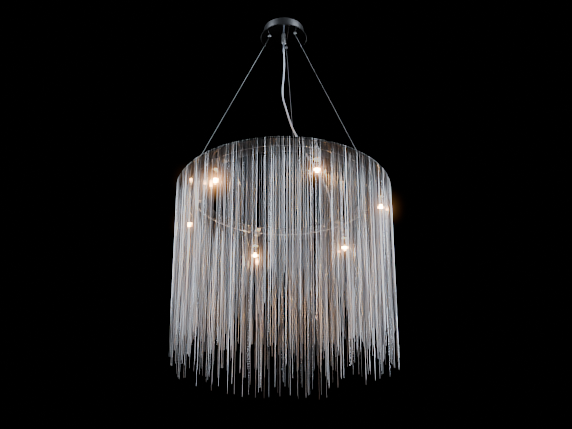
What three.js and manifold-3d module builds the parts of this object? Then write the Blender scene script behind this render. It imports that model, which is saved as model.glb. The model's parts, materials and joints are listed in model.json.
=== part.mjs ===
// Pendant light: a round mirror-faced canopy, three steel wires, and a flat ring that carries
// six capsule lamps and a deep fringe of fine metal chains.
// Millimetres, +Z up. The origin is the middle of the face that lies against the ceiling.
import * as THREE from "three";
import { mergeVertices } from "three/addons/utils/BufferGeometryUtils.js";
import Module from "manifold-3d";

const wasm = await Module();
wasm.setup();

// Driving sizes
const CANOPY_HEIGHT = 34; // ceiling to the mirror face
const HANG = 534; // mirror face to the lower face of the ring
const SHADE_RADIUS = 300;
const CHAIN_LONGEST = 540;
const CHAIN_SHORTEST = 425;
const WIRE_COUNT = 3;
const WIRE_FIRST_ANGLE = 79.1; // degrees from +X towards +Y
const LAMP_COUNT = 6;
const LAMP_FIRST_ANGLE = 48.5;

// Fits
const GAP = 0.3; // between two pieces that touch
const OVERRUN = 2; // how far a cutting body runs past what it cuts
const WELD = 0.001;

// Canopy plate and drum
const DRUM_RADIUS = 60;
const DRUM_WALL = 1.2;
const PLATE_OVERHANG = 10; // past the drum
const PLATE_THICKNESS = 3;
const PLATE_EDGE = 0.8;

// Ceiling bracket
const BRACKET_WIDTH = 22;
const BRACKET_THICKNESS = 1.5;
const BRACKET_CLEARANCE = 0.7; // tab corner to the inside of the drum
const BRACKET_TAB = 13;
const SLOT_WIDTH = 5;
const SLOT_LENGTH = 14;
const SLOT_INSET = 18; // middle of a slot to the bracket's end

// Drum screws
const SCREW_RADIUS = 2;
const SCREW_HEAD_RADIUS = 3.6;
const SCREW_HEAD_HEIGHT = 1.8;
const SCREW_DEPTH = 8; // below the ceiling
const SCREW_REACH = 2; // past the bracket's tab

// Cord grip
const CORD_RADIUS = 3;
const CORD_GRIP_RADIUS = 6.5;
const CORD_GRIP_LENGTH = 19;
const CORD_GRIP_THREAD_RADIUS = 5;
const CORD_GRIP_CHAMFER = 1;
const CORD_GRIP_NUT_WIDTH = 16;
const CORD_TAIL = 3.7; // cord left above its grip

// Wire grippers
const GRIPPER_INSET = 15; // drum's edge to the middle of a gripper
const WIRE_RADIUS = 0.75;
const GRIPPER_RADIUS = 5;
const GRIPPER_FLANGE = 2;
const GRIPPER_THREAD_RADIUS = 4;
const GRIPPER_CHAMBER_RADIUS = 3.3;
const GRIPPER_LIP = 1.2;
const GRIPPER_NUT_WIDTH = 12;
const NIPPLE_RADIUS = 2.2;
const NIPPLE_COLLAR_RADIUS = 2.9;
const NIPPLE_COLLAR_HEIGHT = 1.6;
const NIPPLE_SHOWS = 3;
const NUT_HEIGHT = 4;
const THREAD_END = 1.5; // thread that shows past a nut
const WIRE_TAIL = 12; // wire left above its gripper

// Mains terminals inside the canopy
const TERMINAL_NEAR = 9;
const TERMINAL_LENGTH = 18;
const TERMINAL_WIDTH = 18;
const TERMINAL_HEIGHT = 12;
const TERMINAL_PITCH = 9;
const TERMINAL_SCREW_RADIUS = 1.8;
const TERMINAL_SCREW_DEPTH = 3;
const LEAD_RADIUS = 0.9;
const LEAD_OFFSET = 1.5; // core to the middle of the cord
const LEAD_GRIPPED = 5; // length of core inside the terminal
const EARTH_PLACE = 15;
const EARTH_HEAD_RADIUS = 3.5;
const EARTH_HEAD_HEIGHT = 2.5;
const EARTH_SHANK_RADIUS = 1.7;

// Wire ends and their anchors on the ring
const ANCHOR_INSET = 28; // shade's edge to the middle of an anchor
const EYE_RADIUS = 4.2;
const EYE_THICKNESS = 2.6;
const EYE_NECK = 4;
const EYE_PLAY = 0.7; // round the pin
const BARREL_RADIUS = 2.2;
const BARREL_START = 6.4; // from the pin
const BARREL_LENGTH = 12;
const BARREL_FLOOR = 2;
const PIN_RADIUS = 1.2;
const PIN_HEIGHT = 5; // over the anchor's base
const ANCHOR_RADIUS = 6;
const ANCHOR_BASE = 2;
const EAR_THICKNESS = 1.5;
const EAR_WIDTH = 8;
const EAR_OVER_PIN = 3.5;
const EAR_PLAY = 0.5; // beside the eye
const ANCHOR_STUD_RADIUS = 2.5;

// Ring
const RING_THICKNESS = 3;
const RING_MARGIN = 6; // ring's inner edge to the junction cover
const RIVET_RADIUS = 1.7;
const RIVET_HEAD_RADIUS = 3.2;
const RIVET_HEAD_HEIGHT = 1.2;

// Chain fringe: the insets are from the shade's edge
const OUTER_ROW_INSET = 3;
const MIDDLE_ROW_INSET = 12;
const INNER_ROW_INSET = 34;
const CARRIER_RIVET_INSET = 22;
const CARRIER_MARGIN = 4; // inner row to the carrier's inner edge
const CARRIER_THICKNESS = 1.5;
const CARRIER_COUNT = 4;
const CARRIER_SPLIT = 1; // between two carriers
const CARRIER_RIVET_STEP = 30; // degrees
const STRAND_RADIUS = 1.5;
const STRANDS_PER_ROW = 40; // in one carrier
const ROW_STAGGER_SHARES = [0.5, 0.8, 0.2]; // of the step from one strand to the next
const GOLDEN_SHARE = 0.618034; // spreads the chains' lengths

// Lampholders and their brackets
const LAMP_INSET = 28; // shade's edge to the middle of a lamp
const HOLDER_BRACKET_WIDTH = 14;
const HOLDER_BRACKET_THICKNESS = 1.5;
const HOLDER_BRACKET_DROP = 13.5; // ring to the underside of the foot
const HOLDER_RIVET_MARGIN = 10; // ring's inner edge to the rivet
const HOLDER_BRACKET_END = 5; // metal past the rivet
const HOLDER_WEB_CLEARANCE = 6; // web to the carrier, with a branch of the wiring between them
const HOLDER_RADIUS = 9;
const HOLDER_HEIGHT = 29;
const HOLDER_CHAMFER = 1.5;
const SOCKET_RADIUS = 5.2;
const SOCKET_DEPTH = 12;
const HOLDER_SCREW_RADIUS = 1.5;
const HOLDER_SCREW_HEAD_RADIUS = 2.7;
const HOLDER_SCREW_HEAD_HEIGHT = 1.6;

// Capsule bulbs
const BULB_RADIUS = 7;
const BULB_LENGTH = 42; // below the holder
const BULB_BASE_RADIUS = 4.7;
const BULB_BASE_LENGTH = 6;
const BULB_NECK = 1;
const BULB_SHOULDER = 4;
const BULB_PIN_RADIUS = 0.6;
const BULB_PIN_LENGTH = 4.5;
const BULB_PIN_SPREAD = 2.2;

// Wiring on the ring
const HARNESS_RADIUS = 2;
const BRANCH_RADIUS = 1.5;
const BRANCH_REACH = 9; // sleeve to where a branch goes down through the ring
const BRANCH_CORNER = 1.5;
const BRANCH_BELOW = 5; // ring to where a branch turns to its lampholder
const BRANCH_TURN = 9;
const BRANCH_END_OFFSET = 6; // inside the middle of the lampholder

// Junction cover, its terminal and the cord gland
const COVER_OFFSET = 4; // from the sleeve towards the axis
const COVER_TO_LAMP = 5.7; // end of the cover to the line of the lamp beside it
const COVER_DEPTH = 26;
const COVER_LENGTH = 40;
const COVER_HEIGHT = 14;
const COVER_WALL = 1.5;
const BOSS_RADIUS = 2.6;
const BOSS_PEG_RADIUS = 1.3;
const BOSS_IN = 9; // towards the axis
const BOSS_SIDE = 14;
const BLOCK_WIDTH = 12;
const BLOCK_LENGTH = 18;
const BLOCK_HEIGHT = 8;
const BLOCK_SLIT = 1.2;
const GLAND_RADIUS = 7;
const GLAND_LENGTH = 11;
const GLAND_TAPER = 3;
const GLAND_NOSE_RADIUS = 5;
const GLAND_THREAD_RADIUS = 4.6;
const GLAND_THREAD_LENGTH = 3;

// The cord's route in its upright plane: distance from the axis, and height over the ring
const CORD_ROUTE = [
  [0, 548],
  [0, 534],
  [0, 515],
  [0, 500],
  [1.5, 480],
  [3, 455],
  [3, 430],
  [1, 400],
  [-3, 370],
  [-5, 345],
  [-4.5, 325],
  [0, 307],
  [10, 290],
  [24, 266],
  [38, 245],
  [53, 230],
  [72, 216],
  [95, 199],
  [118, 182],
  [148, 164],
  [177, 147],
  [204, 130],
  [224, 112],
  [238, 90],
  [244.5, 66],
  [246, 45],
  [246, 28],
  [246, 11.6],
];

// Facets
const DISC_SIDES = 40;
const HEXAGON_SIDES = 6;
const RING_SIDES = 80;
const TURNED_SIDES = 12;
const SMALL_SIDES = 10;
const HOLE_SIDES = 8;
const WIRE_SIDES = 8;
const CORD_SIDES = 8;
const CORD_STEPS = 46;
const HARNESS_SIDES = 5;
const HARNESS_STEPS = 64;
const LEAD_SIDES = 6;
const LEAD_STEPS = 8;
const BULB_SIDES = 12;
const BULB_TIP_STEPS = 3;

const DEGREE = Math.PI / 180;
const FULL_TURN = 2 * Math.PI;

// Sizes across the canopy
const plateRadius = DRUM_RADIUS + PLATE_OVERHANG;
const gripperCircle = DRUM_RADIUS - GRIPPER_INSET;

// Circles on the ring, from its edge inwards
const anchorCircle = SHADE_RADIUS - ANCHOR_INSET;
const lampCircle = SHADE_RADIUS - LAMP_INSET;
const outerRow = SHADE_RADIUS - OUTER_ROW_INSET;
const middleRow = SHADE_RADIUS - MIDDLE_ROW_INSET;
const innerRow = SHADE_RADIUS - INNER_ROW_INSET;
const carrierRivetCircle = SHADE_RADIUS - CARRIER_RIVET_INSET;
const carrierInner = innerRow - CARRIER_MARGIN;
const holderWeb = carrierInner - HOLDER_WEB_CLEARANCE;
const branchCircle = (carrierInner + holderWeb) / 2;
const harnessCircle = branchCircle - BRANCH_REACH;
const coverCircle = harnessCircle - COVER_OFFSET;
const ringInner = coverCircle - COVER_DEPTH / 2 - RING_MARGIN;
const holderRivetCircle = ringInner + HOLDER_RIVET_MARGIN;

// Heights in the canopy, below the ceiling
const mirrorZ = -CANOPY_HEIGHT;
const plateTopZ = mirrorZ + PLATE_THICKNESS;
const drumBaseZ = plateTopZ + GAP;
const drumFloorZ = drumBaseZ + DRUM_WALL;
const nutZ = drumFloorZ + GAP;
const threadTopZ = nutZ + NUT_HEIGHT + THREAD_END;
const flangeTopZ = mirrorZ - GAP;
const gripperBaseZ = flangeTopZ - GRIPPER_FLANGE;
const lipTopZ = gripperBaseZ + GRIPPER_LIP;
const nippleBaseZ = gripperBaseZ - NIPPLE_SHOWS;
const wireBendZ = nippleBaseZ - GAP;
const ringZ = mirrorZ - HANG;

// Heights over the ring's lower face
const onRing = RING_THICKNESS + GAP;
const pinHeight = onRing + ANCHOR_BASE + PIN_HEIGHT;
const footTop = HOLDER_BRACKET_THICKNESS - HOLDER_BRACKET_DROP;
const holderTop = -HOLDER_BRACKET_DROP - GAP;
const holderBase = holderTop - HOLDER_HEIGHT;
const harnessHeight = onRing + HARNESS_RADIUS;
const coverTop = onRing + COVER_HEIGHT;
const blockTop = onRing + BLOCK_HEIGHT;

// Finishes
const finish = (color, metalness, roughness) =>
  new THREE.MeshStandardMaterial({ color, metalness, roughness });
const FINISHES = {
  mirror: finish(0xd8d9dc, 1, 0.04),
  brushed: finish(0xa6a7aa, 1, 0.4),
  chrome: finish(0xe2e3e6, 1, 0.08),
  steel: finish(0xb6b8bc, 1, 0.3),
  zinc: finish(0x9fa2a6, 1, 0.45),
  chain: finish(0xc3c6cd, 1, 0.25),
  brass: finish(0xc9a04e, 1, 0.3),
  ceramic: finish(0xe9e6de, 0, 0.5),
  glass: finish(0xfff3dc, 0, 0.05),
  clear: finish(0xd5d8da, 0, 0.25),
  sleeve: finish(0xe6e2d8, 0, 0.7),
  white: finish(0xeeeeea, 0, 0.4),
  brown: finish(0x6b4427, 0, 0.5),
  blue: finish(0x2c5aa0, 0, 0.5),
  green: finish(0x6f9c38, 0, 0.5),
};

// A closed geometry as a solid that can be joined and cut
function solid(geometry) {
  const bare = geometry.clone();
  bare.deleteAttribute("normal");
  bare.deleteAttribute("uv");
  const welded = mergeVertices(bare, WELD);
  const corners = welded.index.array;
  const faces = [];
  for (let i = 0; i < corners.length; i += 3) {
    const [a, b, c] = corners.slice(i, i + 3);
    if (a !== b && b !== c && c !== a) faces.push(a, b, c);
  }
  return new wasm.Manifold(
    new wasm.Mesh({
      numProp: 3,
      vertProperties: welded.attributes.position.array,
      triVerts: new Uint32Array(faces),
    }),
  );
}

function geometryOf(body) {
  const mesh = body.getMesh();
  const geometry = new THREE.BufferGeometry();
  geometry.setAttribute("position", new THREE.BufferAttribute(mesh.vertProperties, 3));
  geometry.setIndex(new THREE.BufferAttribute(mesh.triVerts, 1));
  geometry.computeVertexNormals();
  return geometry;
}

function joined(...geometries) {
  return geometryOf(geometries.map(solid).reduce((whole, next) => whole.add(next)));
}

function cut(geometry, ...tools) {
  return geometryOf(tools.map(solid).reduce((left, tool) => left.subtract(tool), solid(geometry)));
}

// A body turned about Z from [radius, height] points that run anticlockwise, from axis to axis
function turned(outline, sides) {
  const points = outline.map(([radius, height]) => new THREE.Vector2(radius, height));
  return new THREE.LatheGeometry(points, sides).rotateX(Math.PI / 2);
}

// The same with a bore: the outline closes on itself
function turnedTube(outline, sides) {
  return turned([...outline, outline[0]], sides);
}

function rod(radius, low, high, sides) {
  return new THREE.CylinderGeometry(radius, radius, high - low, sides)
    .rotateX(Math.PI / 2)
    .translate(0, 0, (low + high) / 2);
}

// A round bar along X
function crossbar(radius, from, to, sides) {
  return rod(radius, from, to, sides).rotateY(Math.PI / 2);
}

function block([x0, x1], [y0, y1], [z0, z1]) {
  return new THREE.BoxGeometry(x1 - x0, y1 - y0, z1 - z0).translate(
    (x0 + x1) / 2,
    (y0 + y1) / 2,
    (z0 + z1) / 2,
  );
}

function circle(radius, sides, x = 0, y = 0) {
  const points = [];
  for (let i = 0; i < sides; i++) {
    const angle = (FULL_TURN * (i + 0.5)) / sides;
    points.push(new THREE.Vector2(x + radius * Math.cos(angle), y + radius * Math.sin(angle)));
  }
  return points;
}

function tube(path, radius, sides, steps) {
  const section = new THREE.Shape(circle(radius, sides));
  return new THREE.ExtrudeGeometry(section, { steps, extrudePath: path });
}

// A path with one step from each point to the next
class Route extends THREE.Curve {
  constructor(points) {
    super();
    this.points = points;
  }
  getUtoTmapping(u) {
    return u;
  }
  getPoint(t, target = new THREE.Vector3()) {
    const along = Math.min(Math.max(t, 0), 1) * (this.points.length - 1);
    const i = Math.min(Math.floor(along), this.points.length - 2);
    return target.lerpVectors(this.points[i], this.points[i + 1], along - i);
  }
}

function bentTube(points, radius, sides) {
  const path = new Route(points.map((p) => new THREE.Vector3(...p)));
  return tube(path, radius, sides, points.length - 1);
}

function softTube(points, radius, sides, steps) {
  const path = new THREE.CatmullRomCurve3(points.map((p) => new THREE.Vector3(...p)));
  return tube(path, radius, sides, steps);
}

// Where a round pattern's copies stand, in radians
function spread(count, firstAngle) {
  return Array.from({ length: count }, (_, i) => firstAngle * DEGREE + (FULL_TURN * i) / count);
}
const wireAngles = spread(WIRE_COUNT, WIRE_FIRST_ANGLE);
const lampAngles = spread(LAMP_COUNT, LAMP_FIRST_ANGLE);
const cordAngle = lampAngles[0] + Math.asin((COVER_LENGTH / 2 + COVER_TO_LAMP) / coverCircle);
const at = (radius, angle) => [radius * Math.cos(angle), radius * Math.sin(angle)];

// The same for a point that also stands to one side of that line
function turnedPoint(out, side, angle) {
  return [
    out * Math.cos(angle) - side * Math.sin(angle),
    out * Math.sin(angle) + side * Math.cos(angle),
  ];
}

function piece(name, geometry, material) {
  const mesh = new THREE.Mesh(geometry, FINISHES[material].clone());
  mesh.name = name;
  return mesh;
}

// A group that stands at an angle round the axis: its own +X points outwards
function turnedTo(angle, ...meshes) {
  const group = new THREE.Group();
  group.rotation.z = angle;
  group.add(...meshes);
  return group;
}

// Through holes for the cord grip and the three wire grippers
function threadHoles(low, high) {
  const holes = wireAngles.map((angle) =>
    rod(GRIPPER_THREAD_RADIUS + GAP, low, high, TURNED_SIDES).translate(
      ...at(gripperCircle, angle),
      0,
    ),
  );
  return [rod(CORD_GRIP_THREAD_RADIUS + GAP, low, high, TURNED_SIDES), ...holes];
}

function canopyPlate() {
  const disc = turned(
    [
      [0, mirrorZ],
      [plateRadius - PLATE_EDGE, mirrorZ],
      [plateRadius, mirrorZ + PLATE_EDGE],
      [plateRadius, plateTopZ],
      [0, plateTopZ],
    ],
    DISC_SIDES,
  );
  return cut(disc, ...threadHoles(mirrorZ - OVERRUN, plateTopZ + OVERRUN));
}

function canopyDrum() {
  const inside = DRUM_RADIUS - DRUM_WALL;
  const cup = turned(
    [
      [0, drumBaseZ],
      [DRUM_RADIUS, drumBaseZ],
      [DRUM_RADIUS, 0],
      [inside, 0],
      [inside, drumFloorZ],
      [0, drumFloorZ],
    ],
    DISC_SIDES,
  );
  const reach = DRUM_RADIUS + OVERRUN;
  const screwHole = crossbar(SCREW_RADIUS + GAP, -reach, reach, HOLE_SIDES);
  return cut(
    cup,
    ...threadHoles(drumBaseZ - OVERRUN, drumFloorZ + OVERRUN),
    screwHole.translate(0, 0, -SCREW_DEPTH),
  );
}

// Half the length of the ceiling bracket: its tabs stand just inside the drum
const bracketHalf = Math.sqrt(
  (DRUM_RADIUS - DRUM_WALL - BRACKET_CLEARANCE) ** 2 - (BRACKET_WIDTH / 2) ** 2,
);

function ceilingBracket() {
  const across = [-BRACKET_WIDTH / 2, BRACKET_WIDTH / 2];
  const strip = block([-bracketHalf, bracketHalf], across, [-BRACKET_THICKNESS, 0]);
  const tabs = [-1, 1].map((side) => {
    const outer = side * bracketHalf;
    const inner = side * (bracketHalf - BRACKET_THICKNESS);
    const ends = [Math.min(inner, outer), Math.max(inner, outer)];
    return block(ends, across, [-BRACKET_TAB, 0]);
  });
  const slotZ = [-BRACKET_THICKNESS - OVERRUN, OVERRUN];
  const straight = (SLOT_LENGTH - SLOT_WIDTH) / 2;
  const slotPlace = bracketHalf - SLOT_INSET;
  const slots = [-slotPlace, slotPlace].flatMap((x) => [
    block([x - straight, x + straight], [-SLOT_WIDTH / 2, SLOT_WIDTH / 2], slotZ),
    rod(SLOT_WIDTH / 2, ...slotZ, HOLE_SIDES).translate(x - straight, 0, 0),
    rod(SLOT_WIDTH / 2, ...slotZ, HOLE_SIDES).translate(x + straight, 0, 0),
  ]);
  const reach = bracketHalf + OVERRUN;
  return cut(
    joined(strip, ...tabs),
    ...slots,
    crossbar(SCREW_RADIUS + GAP, -reach, reach, HOLE_SIDES).translate(0, 0, -SCREW_DEPTH),
    rod(EARTH_SHANK_RADIUS + GAP, ...slotZ, HOLE_SIDES).translate(-EARTH_PLACE, 0, 0),
  );
}

function drumScrew() {
  const head = DRUM_RADIUS + GAP;
  const inner = bracketHalf - BRACKET_THICKNESS - SCREW_REACH;
  return turned(
    [
      [0, inner],
      [SCREW_RADIUS, inner],
      [SCREW_RADIUS, head],
      [SCREW_HEAD_RADIUS, head],
      [SCREW_HEAD_RADIUS, head + SCREW_HEAD_HEIGHT / 2],
      [SCREW_RADIUS, head + SCREW_HEAD_HEIGHT],
      [0, head + SCREW_HEAD_HEIGHT],
    ],
    SMALL_SIDES,
  )
    .rotateY(Math.PI / 2)
    .translate(0, 0, -SCREW_DEPTH);
}

function nut(width, bore) {
  const shape = new THREE.Shape(circle(width / Math.sqrt(3), HEXAGON_SIDES));
  shape.holes.push(new THREE.Path(circle(bore, TURNED_SIDES)));
  return new THREE.ExtrudeGeometry(shape, { depth: NUT_HEIGHT, bevelEnabled: false }).translate(
    0,
    0,
    nutZ,
  );
}

function cordGrip() {
  const base = flangeTopZ - CORD_GRIP_LENGTH;
  const bore = CORD_RADIUS + GAP;
  return turnedTube(
    [
      [bore, base],
      [CORD_GRIP_RADIUS - CORD_GRIP_CHAMFER, base],
      [CORD_GRIP_RADIUS, base + CORD_GRIP_CHAMFER],
      [CORD_GRIP_RADIUS, flangeTopZ],
      [CORD_GRIP_THREAD_RADIUS, flangeTopZ],
      [CORD_GRIP_THREAD_RADIUS, threadTopZ],
      [bore, threadTopZ],
    ],
    TURNED_SIDES,
  );
}

function gripper() {
  const mouth = NIPPLE_RADIUS + GAP;
  return turnedTube(
    [
      [mouth, gripperBaseZ],
      [GRIPPER_RADIUS, gripperBaseZ],
      [GRIPPER_RADIUS, flangeTopZ],
      [GRIPPER_THREAD_RADIUS, flangeTopZ],
      [GRIPPER_THREAD_RADIUS, threadTopZ],
      [GRIPPER_CHAMBER_RADIUS, threadTopZ],
      [GRIPPER_CHAMBER_RADIUS, lipTopZ],
      [mouth, lipTopZ],
    ],
    TURNED_SIDES,
  );
}

function nipple() {
  const bore = WIRE_RADIUS + GAP;
  const collar = lipTopZ + GAP;
  return turnedTube(
    [
      [bore, nippleBaseZ],
      [NIPPLE_RADIUS, nippleBaseZ],
      [NIPPLE_RADIUS, collar],
      [NIPPLE_COLLAR_RADIUS, collar],
      [NIPPLE_COLLAR_RADIUS, collar + NIPPLE_COLLAR_HEIGHT],
      [bore, collar + NIPPLE_COLLAR_HEIGHT],
    ],
    SMALL_SIDES,
  );
}

// The mains terminal under the bracket, with a hole for each core and a screw well below it
const terminalTop = -BRACKET_THICKNESS - GAP;
const coreZ = terminalTop - TERMINAL_HEIGHT / 2;

function terminalBlock() {
  const far = TERMINAL_NEAR + TERMINAL_LENGTH;
  const base = terminalTop - TERMINAL_HEIGHT;
  const body = block(
    [TERMINAL_NEAR, far],
    [-TERMINAL_WIDTH / 2, TERMINAL_WIDTH / 2],
    [base, terminalTop],
  );
  const tools = [-TERMINAL_PITCH / 2, TERMINAL_PITCH / 2].flatMap((y) => [
    crossbar(
      LEAD_RADIUS + GAP,
      TERMINAL_NEAR - OVERRUN,
      TERMINAL_NEAR + LEAD_GRIPPED + GAP,
      HOLE_SIDES,
    ).translate(0, y, coreZ),
    rod(TERMINAL_SCREW_RADIUS, base - OVERRUN, base + TERMINAL_SCREW_DEPTH, HOLE_SIDES).translate(
      TERMINAL_NEAR + TERMINAL_LENGTH / 2,
      y,
      0,
    ),
  ]);
  return cut(body, ...tools);
}

function earthScrew() {
  const seat = -BRACKET_THICKNESS - GAP;
  return turned(
    [
      [0, seat - EARTH_HEAD_HEIGHT],
      [EARTH_HEAD_RADIUS, seat - EARTH_HEAD_HEIGHT],
      [EARTH_HEAD_RADIUS, seat],
      [EARTH_SHANK_RADIUS, seat],
      [EARTH_SHANK_RADIUS, -GAP],
      [0, -GAP],
    ],
    SMALL_SIDES,
  ).translate(-EARTH_PLACE, 0, 0);
}

// Where the three cores come out of the cord's cut end
const coresZ = threadTopZ + CORD_TAIL + GAP;

function phaseLead(side) {
  const y = (side * TERMINAL_PITCH) / 2;
  const end = TERMINAL_NEAR + LEAD_GRIPPED;
  return softTube(
    [
      [LEAD_OFFSET / 2, side * LEAD_OFFSET, coresZ],
      [LEAD_OFFSET / 2, side * LEAD_OFFSET, coresZ + LEAD_OFFSET],
      [TERMINAL_NEAR / 2, (side * LEAD_OFFSET + y) / 2, (coresZ + coreZ) / 2],
      [TERMINAL_NEAR - LEAD_OFFSET, y, coreZ],
      [TERMINAL_NEAR, y, coreZ],
      [end, y, coreZ],
    ],
    LEAD_RADIUS,
    LEAD_SIDES,
    LEAD_STEPS,
  );
}

function earthLead() {
  const end = EARTH_HEAD_RADIUS + GAP - EARTH_PLACE;
  const endZ = -BRACKET_THICKNESS - GAP - LEAD_RADIUS - GAP;
  return softTube(
    [
      [-LEAD_OFFSET, 0, coresZ],
      [-LEAD_OFFSET, 0, coresZ + LEAD_OFFSET],
      [(end - LEAD_OFFSET) / 2, 0, (coresZ + endZ) / 2],
      [end + LEAD_OFFSET, 0, endZ],
      [end, 0, endZ],
    ],
    LEAD_RADIUS,
    LEAD_SIDES,
    LEAD_STEPS,
  );
}

// The wire's straight run: its lean from upright, and its end inside the crimped barrel
const pinZ = ringZ + pinHeight;
const wireLean = Math.atan2(anchorCircle - gripperCircle, wireBendZ - pinZ);
const wireEnd = BARREL_START + BARREL_FLOOR + GAP;

function suspensionWire() {
  return bentTube(
    [
      [gripperCircle, 0, threadTopZ + WIRE_TAIL],
      [gripperCircle, 0, wireBendZ],
      [
        anchorCircle - wireEnd * Math.sin(wireLean),
        0,
        pinZ + wireEnd * Math.cos(wireLean),
      ],
    ],
    WIRE_RADIUS,
    WIRE_SIDES,
  );
}

// The eye and barrel on the wire's lower end, drawn about its pin and then leaned with the wire
function wireEndFitting() {
  const half = EYE_THICKNESS / 2;
  const eye = rod(EYE_RADIUS, -half, half, TURNED_SIDES).rotateX(Math.PI / 2);
  const barrelTop = BARREL_START + BARREL_LENGTH;
  const neck = block([-EYE_NECK / 2, EYE_NECK / 2], [-half, half], [0, BARREL_START + GAP]);
  const barrel = rod(BARREL_RADIUS, BARREL_START, barrelTop, SMALL_SIDES);
  const pinHole = rod(PIN_RADIUS + EYE_PLAY, -BARREL_RADIUS, BARREL_RADIUS, TURNED_SIDES);
  const wireHole = rod(
    WIRE_RADIUS + GAP,
    BARREL_START + BARREL_FLOOR,
    barrelTop + OVERRUN,
    SMALL_SIDES,
  );
  return cut(joined(eye, neck, barrel), pinHole.rotateX(Math.PI / 2), wireHole)
    .rotateY(-wireLean)
    .translate(anchorCircle, 0, pinZ);
}

// The clevis that holds a wire's eye: a riveted stud, a base, two ears and the pin
function cableAnchor() {
  const baseTop = onRing + ANCHOR_BASE;
  const inner = EYE_THICKNESS / 2 + EAR_PLAY;
  const outer = inner + EAR_THICKNESS;
  const foot = turned(
    [
      [0, 0],
      [ANCHOR_STUD_RADIUS, 0],
      [ANCHOR_STUD_RADIUS, onRing],
      [ANCHOR_RADIUS, onRing],
      [ANCHOR_RADIUS, baseTop],
      [0, baseTop],
    ],
    TURNED_SIDES,
  );
  const ears = [-1, 1].map((side) =>
    block(
      [-EAR_WIDTH / 2, EAR_WIDTH / 2],
      [Math.min(side * inner, side * outer), Math.max(side * inner, side * outer)],
      [onRing, pinHeight + EAR_OVER_PIN],
    ),
  );
  const middle = (inner + outer) / 2;
  const pin = rod(PIN_RADIUS, -middle, middle, SMALL_SIDES)
    .rotateX(Math.PI / 2)
    .translate(0, 0, pinHeight);
  return joined(foot, ...ears, pin).translate(anchorCircle, 0, 0);
}

const carrierTurn = FULL_TURN / CARRIER_COUNT;
const carrierRivets = [-CARRIER_RIVET_STEP, 0, CARRIER_RIVET_STEP].map((a) => a * DEGREE);

function ringPlate() {
  const hole = (radius, distance, angle) =>
    new THREE.Path(circle(radius + GAP, HOLE_SIDES, ...at(distance, angle)));
  const shape = new THREE.Shape(circle(SHADE_RADIUS, RING_SIDES));
  shape.holes.push(new THREE.Path(circle(ringInner, RING_SIDES)));
  for (const angle of wireAngles)
    shape.holes.push(hole(ANCHOR_STUD_RADIUS, anchorCircle, angle));
  for (const angle of lampAngles) {
    shape.holes.push(hole(RIVET_RADIUS, holderRivetCircle, angle));
    shape.holes.push(hole(BRANCH_RADIUS, branchCircle, angle));
  }
  for (let i = 0; i < CARRIER_COUNT; i++)
    for (const angle of carrierRivets)
      shape.holes.push(hole(RIVET_RADIUS, carrierRivetCircle, i * carrierTurn + angle));
  for (const side of [-BOSS_SIDE, BOSS_SIDE]) {
    const [x, y] = turnedPoint(coverCircle - BOSS_IN, side, cordAngle);
    shape.holes.push(new THREE.Path(circle(BOSS_PEG_RADIUS + GAP, HOLE_SIDES, x, y)));
  }
  return new THREE.ExtrudeGeometry(shape, { depth: RING_THICKNESS, bevelEnabled: false });
}

// A rivet that comes up through the ring and is headed on top of it
function rivet(from) {
  return turned(
    [
      [0, from],
      [RIVET_RADIUS, from],
      [RIVET_RADIUS, onRing],
      [RIVET_HEAD_RADIUS, onRing],
      [RIVET_RADIUS, onRing + RIVET_HEAD_HEIGHT],
      [0, onRing + RIVET_HEAD_HEIGHT],
    ],
    HOLE_SIDES,
  );
}

// One chain as the corners and faces of a closed three-sided strand
function addStrand(corners, faces, radius, angle, top, length) {
  const first = corners.length / 3;
  const [x, y] = at(radius, angle);
  for (const z of [top, -length])
    for (let i = 0; i < 3; i++) {
      const [dx, dy] = at(STRAND_RADIUS, angle + (FULL_TURN * i) / 3);
      corners.push(x + dx, y + dy, z);
    }
  faces.push(first, first + 1, first + 2, first + 5, first + 4, first + 3);
  for (let i = 0; i < 3; i++) {
    const next = (i + 1) % 3;
    faces.push(first + 3 + i, first + 3 + next, first + next);
    faces.push(first + 3 + i, first + next, first + i);
  }
}

// True where a strand would meet a lampholder, its bracket or its bulb
function besideLamp(radius, angle) {
  const half = Math.max(HOLDER_BRACKET_WIDTH / 2, HOLDER_RADIUS) + 2 * STRAND_RADIUS;
  return lampAngles.some((lamp) => {
    const turn = Math.abs(Math.atan2(Math.sin(angle - lamp), Math.cos(angle - lamp)));
    return turn < Math.PI / 2 && radius * Math.sin(turn) < half;
  });
}

// A quarter of the fringe: three rows of chains under one thin carrier, drawn about +X
function chainFringe(middleAngle) {
  const top = -GAP - CARRIER_THICKNESS / 2;
  const corners = [];
  const faces = [];
  const step = carrierTurn / STRANDS_PER_ROW;
  [outerRow, middleRow, innerRow].forEach((row, j) => {
    for (let i = 0; i < STRANDS_PER_ROW; i++) {
      const angle = (i + ROW_STAGGER_SHARES[j]) * step - carrierTurn / 2;
      const count = j * STRANDS_PER_ROW + i;
      const share = (count * GOLDEN_SHARE + middleAngle / FULL_TURN) % 1;
      const length = CHAIN_SHORTEST + (CHAIN_LONGEST - CHAIN_SHORTEST) * share;
      if (row !== innerRow || !besideLamp(row, middleAngle + angle))
        addStrand(corners, faces, row, angle, top, length);
    }
  });
  const strands = new THREE.BufferGeometry();
  strands.setAttribute("position", new THREE.Float32BufferAttribute(corners, 3));
  strands.setIndex(faces);
  const rivets = carrierRivets.map((angle) =>
    rivet(top).translate(...at(carrierRivetCircle, angle), 0),
  );
  return joined(carrier(), ...rivets, strands);
}

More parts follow.
